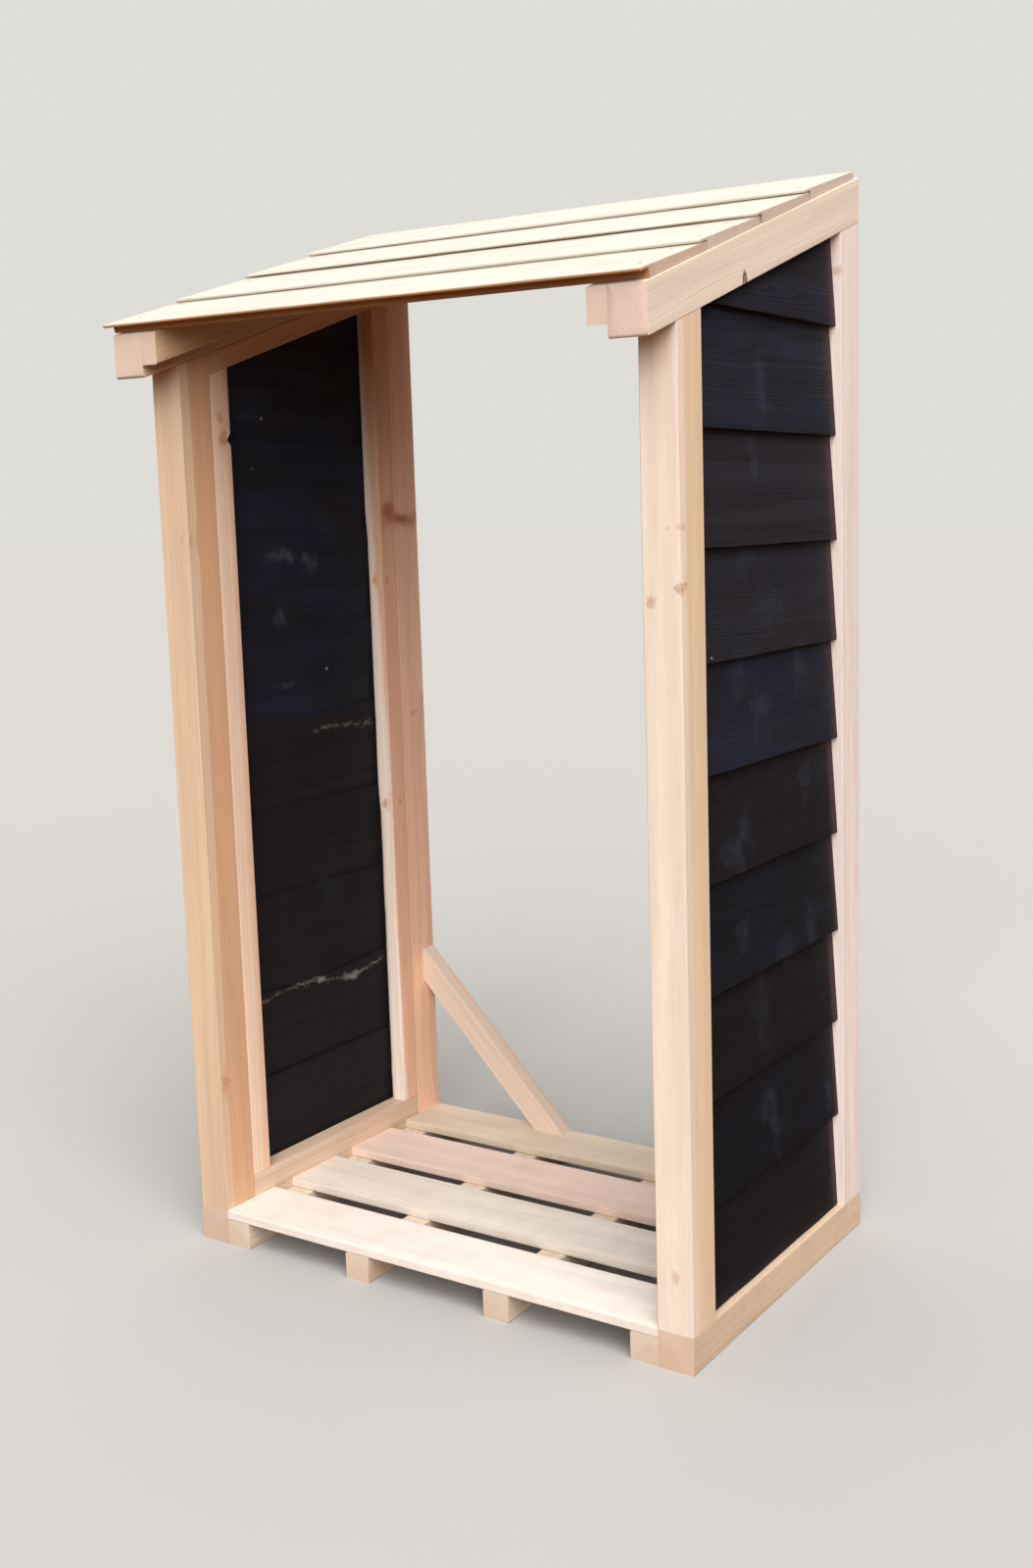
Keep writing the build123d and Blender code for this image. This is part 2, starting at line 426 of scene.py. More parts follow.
class EndGrain(Effect):
    """One on the sawn ends of a timber and nothing on its sides, from the face's direction."""

    def __init__(self) -> None:
        """Builds the group."""
        super().__init__("end_grain", {"Normal": UPWARD, "Along": RIGHTWARD}, ("End",))
        self.give(End=abs(self.takes["Normal"].dot(self.takes["Along"])).step(0.75, 0.92))


class Arrises(Effect):
    """Painted shade on the rounded arrises, so that they don't show as bright lines: where no axis of the
    timber is near the normal.

    The largest part of the normal, in the timber's own axes, is 1 on a face and
    falls towards 0.71 on the rounding between two faces.
    """

    def __init__(self) -> None:
        """Builds the group."""
        super().__init__("arrises", {"Normal": UPWARD, "Turn": ORIGIN}, ("Arris",))
        feeds = {"Vector": self.takes["Normal"], "Rotation": self.takes["Turn"]}
        turned = abs(self.graph.wire("ShaderNodeVectorRotate", feeds, rotation_type="EULER_XYZ", invert=True))
        largest = turned.part("X").most(turned.part("Y").most(turned.part("Z")))
        self.give(Arris=largest.step(0.74, 0.97, 1.0, 0.0))


class GroundDamp(Effect):
    """Damp and splashed dirt near the ground: full at the bottom and gone above the given height."""

    BLOTCH_SCALE, UNEVEN = 22.0, 0.35

    def __init__(self) -> None:
        """Builds the group."""
        super().__init__("ground_damp", {"Object": ORIGIN, "Height": 0.09}, ("Damp",))
        place = self.takes["Object"]
        blotches = self.graph.noise(place, self.BLOTCH_SCALE, 4.0).step(0.25, 0.75, -self.UNEVEN, self.UNEVEN)
        self.give(Damp=(place.part("Z") / self.takes["Height"] + blotches).step(0.0, 1.0, 1.0, 0.0))


class Patch(Effect):
    """One marked spot on faces that look one way, added to the marks before it.

    The distance from the spot's middle, counted in its half sizes and made uneven
    by torn noise, fades the mark out from its middle to its rim.
    """

    TORN_SCALE = 34.0

    def __init__(self) -> None:
        """Builds the group."""
        takes = {"Object": ORIGIN, "Normal": UPWARD, "Centre": ORIGIN, "Size": (0.1, 0.02, 0.03),
                 "Outward": RIGHTWARD, "Torn": 0.5, "Strength": 0.5, "Marks": 0.0}
        super().__init__("patch", takes, ("Marks",))
        into = self.takes
        torn = self.graph.noise(into["Object"], self.TORN_SCALE).step(0.25, 0.75, -1.0, 1.0)
        away = torn * into["Torn"] + ((into["Object"] - into["Centre"]) / into["Size"]).length()
        facing = into["Normal"].dot(into["Outward"]).step(0.2, 0.6)
        self.give(Marks=away.step(-0.1, 1.15, 1.0, 0.0) * facing * into["Strength"] + into["Marks"])


class MissedLine(Effect):
    """A thin, broken line of bare wood between two points, added to the marks before it.

    The distance from the straight line between the points is bent by slow noise.
    Quick noise makes the line wide and bright where it is high, thin and faint where it is low.
    """

    BEND_SCALE, BEND = 16.0, 0.006
    BREAK_SCALE, BREAKS = 130.0, (1.0, 0.6, 1.6)

    def __init__(self) -> None:
        """Builds the group."""
        takes = {"Object": ORIGIN, "Normal": UPWARD, "Start": ORIGIN, "End": (0.0, 1.0, 0.0),
                 "Outward": RIGHTWARD, "Width": 0.003, "Strength": 0.5, "Marks": 0.0}
        super().__init__("missed_line", takes, ("Marks",))
        g, into = self.graph, self.takes
        offset = (into["Object"] - into["Start"]) * WITHOUT_X
        run = into["End"] - into["Start"]
        share = offset.dot(run) / run.dot(run)
        inside = share.step(-0.03, 0.06) * share.step(0.9, 1.03, 1.0, 0.0)
        bend = g.noise(into["Object"], self.BEND_SCALE, 1.0).step(0.25, 0.75, -self.BEND, self.BEND)
        height = (offset - run * share).part("Z") + bend
        broken = g.noise(into["Object"] * self.BREAKS, self.BREAK_SCALE, 4.0)
        width = broken.step(0.34, 0.66, 0.35, 1.5) * into["Width"]
        line = (abs(height) / width).step(0.0, 1.3, 1.0, 0.0)
        line = line * broken.step(0.40, 0.62, 0.08, 1.0) * into["Strength"]
        facing = into["Normal"].dot(into["Outward"]).step(-0.1, 0.3)
        self.give(Marks=line * inside * facing + into["Marks"])


class Effects:
    """The shared effects, each built once."""

    def __init__(self) -> None:
        """Makes every group."""
        self.figure, self.knot, self.saw, self.ends = TimberFigure(), KnotFigure(), SawMarks(), EndGrain()
        self.arris, self.damp, self.patch, self.missed = Arrises(), GroundDamp(), Patch(), MissedLine()


@dataclass(frozen=True)
class Grain:
    """Where the tree's pith runs beside or in a timber.

    Attributes:
        lie: How the timber lies.
        pith: A point on the pith, in the frame's axes.
        start: Shifts the pattern along the pith, so that no two timbers look alike.
    """

    lie: Lie
    pith: Place
    start: float = 0.0

    def origin(self) -> Vector:
        """The pattern's origin in the frame's axes."""
        return Vector(np.array(self.pith) - self.lie.turn()[:, 0] * self.start)

    def inside(self, points: np.ndarray) -> np.ndarray:
        """Points of the frame in the pattern's own axes."""
        return (points - np.array(self.origin())) @ self.lie.turn()

    def turned(self, direction: Sequence[float]) -> Place:
        """A direction of the frame in the pattern's own axes."""
        return tuple(np.array(direction) @ self.lie.turn())

    def place(self, graph: Graph) -> Wire:
        """The place in the pattern, from Object coordinates."""
        feeds = {"Vector": graph.here, "Location": self.origin(), "Rotation": self.lie.value}
        return graph.wire("ShaderNodeMapping", feeds, vector_type="TEXTURE")


@dataclass(frozen=True)
class Knot:
    """A knot in a face, in the frame's own axes.

    Attributes:
        at: Its middle on the face.
        outward: The direction in which that face looks.
        radius: The knot's radius.
        dark: How dark it is, from 0 to 1.
        reach: How deep it goes.
    """

    at: Place
    outward: Place
    radius: float
    dark: float
    reach: float = 0.02

    def place(self, effects: Effects, graph: Graph, grain: Grain, pattern: Wire,
              before: Mapping[str, Feed]) -> Mapping[str, Wire]:
        """Adds the knot to the knots before it.

        Args:
            effects: The shared effects.
            graph: The material's graph.
            grain: The timber's grain.
            pattern: The place in the grain's pattern.
            before: What the knots before it give.

        Returns:
            What it gives with them: Swelling, Core and Rim.
        """
        centre = tuple(grain.inside(np.array([self.at]))[0])
        return effects.knot.place(graph, {
            **before, "Place": pattern, "Centre": centre, "Outward": grain.turned(self.outward),
            "Radius": self.radius, "Reach": self.reach, "Dark": self.dark})


@dataclass(frozen=True)
class Spot:
    """A marked patch: its middle, half sizes, the way its face looks, strength and how torn its rim is."""

    centre: Place
    size: Place
    outward: Place
    strength: float
    torn: float = 0.45


@dataclass(frozen=True)
class BareLine:
    """A line that the stain missed: its start, end, width and strength."""

    start: Place
    end: Place
    width: float
    strength: float


def marked(effects: Effects, graph: Graph, colour: Feed, marks: Sequence[Spot | BareLine], paint: Colour,
           veil: Feed = 1.0) -> Feed:
    """A colour with marks over it. Each mark's fields go into the inputs of their names.

    Args:
        effects: The shared effects.
        graph: The material's graph.
        colour: The colour under the marks.
        marks: The marks, which add up.
        paint: Their colour.
        veil: How much of them is let through.

    Returns:
        The colour with the marks, or as it was where there are none.
    """
    share = 0.0
    for mark in marks:
        effect = effects.patch if isinstance(mark, Spot) else effects.missed
        feeds = {name.capitalize(): value for name, value in vars(mark).items()}
        feeds |= {"Object": graph.here, "Normal": graph.normal, "Marks": share}
        share = effect.place(graph, feeds)["Marks"]
    return graph.mix(share * veil, colour, paint) if marks else colour


def empty_material(name: str) -> tuple[bpy.types.Material, Graph]:
    """Makes a material with no nodes in it.

    Args:
        name: The material's name.

    Returns:
        The material and its graph.
    """
    made = bpy.data.materials.new(name)
    made.use_nodes = True
    made.node_tree.nodes.clear()
    return made, Graph(made.node_tree)


@dataclass(frozen=True)
class TimberFinish:
    """New softwood, planed or sawn, with no coating.

    Attributes:
        sapwood: Colour of the outer, pale wood.
        heartwood: Colour of the inner, pinkish wood.
        latewood: Colour of the dark part of each ring.
        end: Colour that the sawn ends tend to.
        stain: Colour of its resin stains.
        contrast: How strongly the rings show.
        ring_width: Distance between rings.
        wander: How far the rings wave.
        heart_radius: Radius of the heartwood.
        heart_taper: How much that radius grows with each metre of height.
        sawn: Share of the saw marks, none on planed timber.
        roughness: Middle roughness.
        end_share: How far the sawn ends tend to their colour.
        damp_share: How far the foot tends to the colour of damp.
        lap_band: How far before the next board's lip the painted shade starts and is full: a grey band where
            the lap above shades the board.
        bump: Strength of the bump.
        relief: Its depth in metres.
    """

    sapwood: Colour = screen(226, 205, 186)
    heartwood: Colour = screen(222, 184, 148)
    latewood: Colour = screen(196, 148, 106)
    end: Colour = screen(206, 184, 169)
    stain: Colour = screen(168, 88, 48)
    contrast: float = 0.28
    ring_width: float = 0.0042
    wander: float = 0.012
    heart_radius: float = 0.06
    heart_taper: float = 0.0
    sawn: float = 0.0
    roughness: float = 0.58
    end_share: float = 0.6
    damp_share: float = 0.16
    lap_band: tuple[float, float] = (0.030, 0.002)
    bump: float = 0.7
    relief: float = 0.0004

    def clear_wood(self, graph: Graph, figure: Mapping[str, Wire]) -> Wire:
        """The colour of clear wood: sapwood or heartwood, darker in the latewood and in streaks.

        Args:
            graph: The material's graph.
            figure: What the timber's figure gives.

        Returns:
            The colour.
        """
        colour = graph.mix(figure["Heart"], self.sapwood, self.heartwood)
        colour = graph.mix(figure["Rings"] * self.contrast, colour, self.latewood)
        colour = graph.tinted(colour, figure["Streaks"].step(0.3, 0.7, 0.93, 1.04))
        return graph.tinted(colour, figure["Fibre"].step(0.3, 0.75, 1.03, 0.95))

    def material(self, name: str, effects: Effects, lie: Lie, grain: Grain | None = None,
                 knots: Sequence[Knot] = (), stains: Sequence[Spot] = (), amber: bool = False,
                 lap: float | None = None) -> bpy.types.Material:
        """Builds the material.

        Args:
            name: The material's name.
            effects: The shared effects.
            lie: How the timber lies.
            grain: The timber's grain, or nothing where its points store their place in the pattern.
            knots: Knots in the timber.
            stains: Brown resin stains on it.
            amber: Whether the piece has the attribute that paints shade in amber on its lips.
            lap: How far up the slope the next board's lip is, where one lies on this board.

        Returns:
            The material.
        """
        made, g = empty_material(name)
        place = grain.place(g) if grain else g.stored(GRAIN, "Vector")
        given = {"Swelling": 0.0, "Core": 0.0, "Rim": 0.0}
        for knot in knots:
            given = knot.place(effects, g, grain, place, given)
        figure = effects.figure.place(g, {
            "Place": place, "Swelling": given["Swelling"], "Ring Width": self.ring_width,
            "Wander": self.wander, "Heart Radius": g.here.part("Z") * self.heart_taper + self.heart_radius})
        marks = effects.saw.place(g, {"Place": place})
        arris = effects.arris.place(g, {"Normal": g.normal, "Turn": lie.value})["Arris"]
        end = effects.ends.place(g, {"Normal": g.normal, "Along": tuple(lie.turn()[:, 0])})["End"]
        damp = effects.damp.place(g, {"Object": g.here})["Damp"]
        # Painted shade on the arrises, less of it on sawn timber.
        colour = g.mix(arris * (0.5 - 0.3 * self.sawn), self.clear_wood(g, figure), ARRIS_SHADE)
        if knots:
            colour = g.mix(given["Core"], colour, KNOT_CORE)
            colour = g.mix(given["Rim"], colour, KNOT_RIM)
        colour = marked(effects, g, colour, stains, self.stain)
        # Painted shade: the roof boards' lips turn amber, more of it deeper below the top face.
        if amber:
            colour = g.mix(g.stored(AMBER, "Fac"), colour, AMBER_SHADE)
        # Painted shade: a grey band on the board just in front of the next board's lip, where the lap shades
        # it.
        if lap is not None:
            up = g.here.dot((0.0, *SLOPE_AXES[0]))
            band = up.step(*(lap - before for before in self.lap_band))
            colour = g.mix(band * figure["Streaks"].step(0.3, 0.7, 0.26, 0.46), colour, LAP_SHADE)
        colour = g.mix(end * self.end_share, colour, self.end)
        colour = g.mix(damp * self.damp_share, colour, DAMP)
        sawn = marks["Ridges"].step(0.2, 0.8, 1.0 + 0.04 * self.sawn, 1.0 - 0.08 * self.sawn)
        colour = g.tinted(colour, sawn)
        rough = figure["Fibre"].step(0.2, 0.8, self.roughness - 0.06, self.roughness + 0.1)
        relief = figure["Rings"] * 0.3 + figure["Fibre"] * 0.35
        relief = relief + marks["Ridges"] * (1.3 * self.sawn) + marks["Fuzz"] * (0.9 * self.sawn)
        g.surface(colour, rough, relief, self.bump, self.relief, Specular_IOR_Level=0.3)
        return made


@dataclass(frozen=True)
class BlackStain:
    """Black stain on rough boards, thin enough to let the grain stand out, with rubbed patches.

    Attributes:
        black: The stain where it is thick.
        blue: The stain where it has dried bluish.
        brown: The stain where the wood shows through.
        rubbed: Colour of the rubbed patches.
        fleck: Colour of small pale flecks.
        ruddy: Colour that the boards' rear ends are tinted towards.
        bare: Colour of wood that the stain missed.
        ring_width: Distance between rings.
        wander: How far the rings wave.
        saw_spacing: Distance between saw marks.
        clouds: Noise scales of the bluish clouds, along and twice across the board.
        bump: Strength of the bump.
        relief: Its depth in metres.
    """

    black: Colour = screen(24, 25, 32)
    blue: Colour = screen(25, 30, 46)
    brown: Colour = screen(36, 33, 38)
    rubbed: Colour = screen(72, 82, 104)
    fleck: Colour = screen(190, 190, 196)
    ruddy: Colour = screen(66, 45, 50)
    bare: Colour = screen(158, 140, 122)
    ring_width: float = 0.0035
    wander: float = 0.014
    saw_spacing: float = 0.006
    clouds: Place = (5.0, 12.0, 12.0)
    bump: float = 0.9
    relief: float = 0.0005

    def material(self, name: str, effects: Effects, rubs: Sequence[Spot], flecks: Sequence[Spot] = (),
                 lines: Sequence[BareLine] = ()) -> bpy.types.Material:
        """Builds the material of one side's boards.

        Args:
            name: The material's name.
            effects: The shared effects.
            rubs: The rubbed patches of that side.
            flecks: Its pale flecks.
            lines: Its lines of missed stain.

        Returns:
            The material.
        """
        made, g = empty_material(name)
        place, tone = g.stored(GRAIN, "Vector"), g.stored(TONE, "Fac")
        figure = effects.figure.place(
            g, {"Place": place, "Ring Width": self.ring_width, "Wander": self.wander})
        marks = effects.saw.place(g, {"Place": place, "Spacing": self.saw_spacing})
        fibre = figure["Fibre"]
        colour = g.mix(g.noise(place * self.clouds, detail=4.0).step(0.35, 0.65), self.black, self.blue)
        colour = g.mix(tone.step(0.0, 1.0), colour, self.brown)
        colour = g.tinted(colour, figure["Streaks"].step(0.3, 0.75, 0.85, 1.2))
        colour = g.tinted(colour, figure["Rings"].step(0.0, 1.0, 0.9, 1.22))
        # Painted light and shade: each board lighter or darker by its stored shade, the lower boards darker
        # and the upper ones lighter.
        colour = g.tinted(colour, g.stored(SHADE, "Color"))
        colour = g.mix(tone.step(1.0, 2.2, 0.0, 0.8), colour, self.ruddy)
        colour = marked(effects, g, colour, rubs, self.rubbed, fibre.step(0.25, 0.7, 0.45, 1.0))
        colour = marked(effects, g, colour, flecks, self.fleck)
        colour = marked(effects, g, colour, lines, self.bare)
        relief = marks["Fuzz"] * 0.9 + figure["Rings"] * 0.8 + marks["Ridges"] * 0.6 + fibre * 0.5
        g.surface(colour, fibre.step(0.2, 0.8, 0.56, 0.8), relief, self.bump, self.relief,
                  Specular_IOR_Level=0.22)
        return made


@dataclass(frozen=True)
class NailFinish:
    """Nail heads: their colour, how metallic they are, their roughness and the scale of their bloom."""

    colour: Colour
    metallic: float
    roughness: float
    bloom: float = 700.0

    def material(self, name: str) -> bpy.types.Material:
        """Builds the material: bloom in patches that darkens and roughens the heads.

        Args:
            name: The material's name.

        Returns:
            The material.
        """
        made, g = empty_material(name)
        bloom = g.noise(g.here, self.bloom, 4.0)
        colour = g.tinted(self.colour, bloom.step(0.3, 0.7, 0.75, 1.1))
        rough = bloom.step(0.3, 0.7, self.roughness - 0.1, self.roughness + 0.12)
        g.surface(colour, rough, bloom, 0.4, 0.0002, Metallic=self.metallic)
        return made


SHARP_ANGLE = math.radians(40.0)
CORNER_DIGITS = 5
TINY = 1e-12     # the least that anything is divided by
NailPlaces = tuple[np.ndarray, np.ndarray]


def solids_of(node: str) -> list[np.ndarray]:
    """The corners of each separate solid in a CAD node, the lowest solid first.

    Corners at one place are made one. Each corner has a label, and takes the lowest
    label of the triangles that it is in, until no label changes.

    Args:
        node: The node's name.

    Returns:
        One array of points, corners x 3, for each solid.
    """
    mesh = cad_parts[node].data
    points = np.empty(len(mesh.vertices) * 3)
    mesh.vertices.foreach_get("co", points)
    used = np.empty(len(mesh.loops), dtype=np.int64)
    mesh.loops.foreach_get("vertex_index", used)
    corners, same = np.unique(points.reshape(-1, 3).round(CORNER_DIGITS), axis=0, return_inverse=True)
    triangles = same.ravel()[used].reshape(-1, 3)
    labels = np.arange(len(corners))
    changed = True
    while changed:
        lowest = labels.copy()
        np.minimum.at(lowest, triangles, labels[triangles].min(axis=1)[:, None])
        changed = bool((lowest != labels).any())
        labels = lowest
    groups = [corners[labels == label] for label in np.unique(labels)]
    return sorted(groups, key=lambda group: group[:, 2].min())


def waves(along: np.ndarray, lengths: Sequence[float], random: np.random.Generator) -> np.ndarray:
    """A smooth random line between about -1 and 1.

    The mean of one sine for each wave length, sin(2 pi along / length + phase),
    each with a phase of its own.

    Args:
        along: Places along the line.
        lengths: The wave lengths.
        random: Gives the phases.

    Returns:
        The line at each place.
    """
    phases = random.uniform(0.0, 2 * math.pi, len(lengths))
    sines = [np.sin(2 * math.pi * along / length + phase) for length, phase in zip(lengths, phases)]
    return np.mean(sines, axis=0)


def on_edge(edge: np.ndarray, axis: int, values: np.ndarray) -> np.ndarray:
    """Points of an edge line, stations x 3, where its coordinate on the axis has the values."""
    return np.stack([np.interp(values, edge[:, axis], edge[:, other]) for other in range(3)], axis=1)


def joined(nails: Sequence[NailPlaces]) -> NailPlaces:
    """Places and normals of several boards' nails, as one array each."""
    places, normals = zip(*nails)
    return np.concatenate(places), np.concatenate(normals)


def rounded(radii: Sequence[float], stations: int) -> np.ndarray:
    """Reaches of plain round arrises, the same all along: stations x corners x 3."""
    return np.tile(np.array([(radius, radius, 0.0) for radius in radii]), (stations, 1, 1))


def sections(corners: np.ndarray, reaches: np.ndarray, flats: int = 5, steps: int = 4) -> np.ndarray:
    """Sections with round or broken arrises.

    Round a corner c the ring follows (1 - t)^2 A + 2 t (1 - t) C + t^2 B. A and B lie
    on the faces before and after c, as far from it as the reaches say. C is c for a
    round arris, the middle of A and B for a flat one, and past that for a hollow one.
    Between corners the ring runs straight. Two reaches that share a face take nine
    tenths of it at most.

    Args:
        corners: Corner lines, stations x corners x 3.
        reaches: Stations x corners x 3: the reach on the face before, the reach on the
            face after, and how flat the arris is, from 0 for round to 1 for flat.
        flats: Points on each flat between two arrises.
        steps: Points on each arris.

    Returns:
        Rings of points, stations x ring x 3.
    """
    ahead = np.roll(corners, -1, axis=1) - corners
    length = np.maximum(np.linalg.norm(ahead, axis=2), TINY)
    taken = reaches[:, :, 1] + np.roll(reaches[:, :, 0], -1, axis=1)
    room = np.minimum(1.0, 0.9 * length / np.maximum(taken, TINY)) / length
    after = ahead * (reaches[:, :, 1] * room)[:, :, None]
    before = np.roll(-ahead, 1, axis=1) * (reaches[:, :, 0] * np.roll(room, 1, axis=1))[:, :, None]
    pull = (before + after) / 2 * reaches[:, :, 2:3]
    t = np.linspace(0.0, 1.0, steps)[:, None]
    arcs = (1 - t) ** 2 * before[:, :, None] + 2 * t * (1 - t) * pull[:, :, None] + t ** 2 * after[:, :, None]
    arcs = arcs + corners[:, :, None]
    leaving = arcs[:, :, -1:]
    reaching = np.roll(arcs, -1, axis=1)[:, :, :1]
    share = np.linspace(0.0, 1.0, flats + 2)[1:-1, None]
    straight = leaving * (1 - share) + reaching * share
    return np.concatenate([arcs, straight], axis=2).reshape(len(corners), -1, 3)


def closed_rings(rings: np.ndarray, easing: float, poles: np.ndarray | None = None) -> np.ndarray:
    """Adds rings that close both ends.

    The ring at each end moves inwards along the piece by the easing. A rim takes its
    place: the outline n x t, with n the end's own normal and t the outline's
    direction, drawn in by the easing. Two more rings, at a half and at a fiftieth
    of the rim's distance from the pole, carry the flat to the pole.

    Args:
        rings: Stations x ring x 3.
        easing: Width of the eased edge.
        poles: A point in each end from which its whole outline can be seen, or nothing
            for the outline's middle.

    Returns:
        More stations x ring x 3.
    """
    closed = rings.copy()
    caps = []
    for number, (end, inner) in enumerate(((0, 1), (-1, -2))):
        ring = rings[end]
        middle = ring.mean(axis=0)
        normal = np.cross(ring - middle, np.roll(ring, -1, axis=0) - middle).sum(axis=0)
        inward = np.cross(normal, np.roll(ring, -1, axis=0) - np.roll(ring, 1, axis=0))
        inward /= np.maximum(np.linalg.norm(inward, axis=1, keepdims=True), TINY)
        rim = ring + inward * easing
        pole = middle if poles is None else poles[number]
        caps.append([rim, pole + (rim - pole) * 0.5, pole + (rim - pole) * 0.02])
        step = rings[inner] - ring
        length = np.maximum(np.linalg.norm(step, axis=1, keepdims=True), TINY)
        closed[end] = ring + step / length * np.minimum(easing, 0.4 * length)
    return np.concatenate([np.stack(caps[0][::-1]), closed, np.stack(caps[1])])


def signed_volume(points: np.ndarray, quads: np.ndarray) -> float:
    """Six times the volume inside four-sided faces, above nothing where they face outwards.

    The sum over both triangles of each face of a . (b x c), with a, b and c
    measured from the middle of all the points.

    Args:
        points: Points x 3.
        quads: Faces x 4, numbers of points.

    Returns:
        Six times the volume.
    """
    centred = points - points.mean(axis=0)
    a, b, c, d = (centred[quads[:, i]] for i in range(4))
    return float(np.einsum("ij,ij->", a, np.cross(b, c)) + np.einsum("ij,ij->", a, np.cross(c, d)))


def linked(name: str, data: bpy.types.ID) -> bpy.types.Object:
    """Makes an object in the scene.

    Args:
        name: Its name.
        data: Its mesh, lamp or camera.

    Returns:
        The object.
    """
    made = bpy.data.objects.new(name, data)
    bpy.context.scene.collection.objects.link(made)
    return made


class Skin:
    """Closed surfaces gathered into one mesh, with attributes on their points."""

    def __init__(self) -> None:
        """Starts with nothing in it."""
        self.points: list[np.ndarray] = []
        self.faces: list[np.ndarray] = []
        self.values: dict[str, list[np.ndarray]] = {}
        self.count = 0

    def add(self, rings: np.ndarray, **values: np.ndarray) -> None:
        """Adds a surface of rings, joined by four-sided faces and closed at both poles.

        Args:
            rings: Stations x ring x 3, the first and last of them tiny.
            values: Attributes by name, a number or a vector for each point.
        """
        stations, around = rings.shape[:2]
        start = np.arange(stations - 1)[:, None] * around
        here = np.arange(around)[None, :]
        following = (here + 1) % around
        quads = [start + here, start + following, start + around + following, start + around + here]
        quads = np.stack(quads, axis=-1).reshape(-1, 4)
        points = rings.reshape(-1, 3)
        poles = [np.arange(around)[::-1], np.arange(around) + (stations - 1) * around]
        if signed_volume(points, quads) < 0:
            quads = quads[:, ::-1]
            poles = [pole[::-1] for pole in poles]
        self.points.append(points)
        self.faces.append(quads + self.count)
        self.faces += [(pole + self.count)[None, :] for pole in poles]
        for name, value in values.items():
            self.values.setdefault(name, []).append(value.reshape(len(points), -1))
        self.count += len(points)

    def piece(self, name: str, material: bpy.types.Material, slot: Slot, *replaces: str) -> None:
        """Makes the object: smooth, with sharp edges kept, riding on the body.

        Args:
            name: The piece's name.
            material: Its finish.
            slot: The record's slot that the finish stands for; not used.
            replaces: CAD nodes that it stands for.
        """
        mesh = bpy.data.meshes.new(name)
        faces = [face for group in self.faces for face in group.tolist()]
        mesh.from_pydata(np.concatenate(self.points), [], faces)
        for attribute, parts in self.values.items():
            values = np.concatenate(parts).astype(np.float32)
            kind, field = ("FLOAT_VECTOR", "vector") if values.shape[1] == 3 else ("FLOAT", "value")
            mesh.attributes.new(attribute, kind, "POINT").data.foreach_set(field, values.ravel())
        mesh.shade_smooth()
        mesh.set_sharp_from_angle(angle=SHARP_ANGLE)
        mesh.materials.append(material)
        piece = linked(name, mesh)
        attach(piece, BODY)
        if replaces:
            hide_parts(*replaces)
        LOG.info("%s: %d faces", name, len(faces))


@dataclass(frozen=True)
class Nails:
    """Nail heads in one mesh.

    Attributes:
        name: The piece's name.
        radius: Radius of a head.
        proud: How far a head stands off the wood.
        around: Points round a head.
        profile: The head's profile from below: shares of the radius and of how far it is proud.
    """

    name: str
    radius: float
    proud: float = 0.0005
    around: int = 14
    profile: tuple[tuple[float, float], ...] = (
        (0.02, -1.0), (0.95, -1.0), (1.0, 0.2), (0.93, 0.75), (0.6, 1.0), (0.02, 1.0))

    def build(self, places: np.ndarray, normals: np.ndarray, material: bpy.types.Material,
              slot: Slot) -> None:
        """Makes the heads.

        Each head is a profile of radius and height turned round the face's normal n:
        place + r (cos a u + sin a v) + h n, with u and v square to n.

        Args:
            places: Middles of the heads on the wood, nails x 3.
            normals: Directions in which the faces look, nails x 3.
            material: Their finish.
            slot: The record's slot.
        """
        radii, heights = (np.array(self.profile) * (self.radius, self.proud)).T
        angle = np.linspace(0.0, 2 * math.pi, self.around, endpoint=False)
        u = np.cross(normals, (0.0, 1.0, 0.001))
        u /= np.linalg.norm(u, axis=1, keepdims=True)
        v = np.cross(normals, u)
        turn = np.cos(angle)[:, None] * u[:, None] + np.sin(angle)[:, None] * v[:, None]
        heads = places[:, None, None] + radii[:, None, None] * turn[:, None]
        heads = heads + heights[:, None, None] * normals[:, None, None]
        skin = Skin()
        for rings in heads:
            skin.add(rings)
        skin.piece(self.name, material, slot)


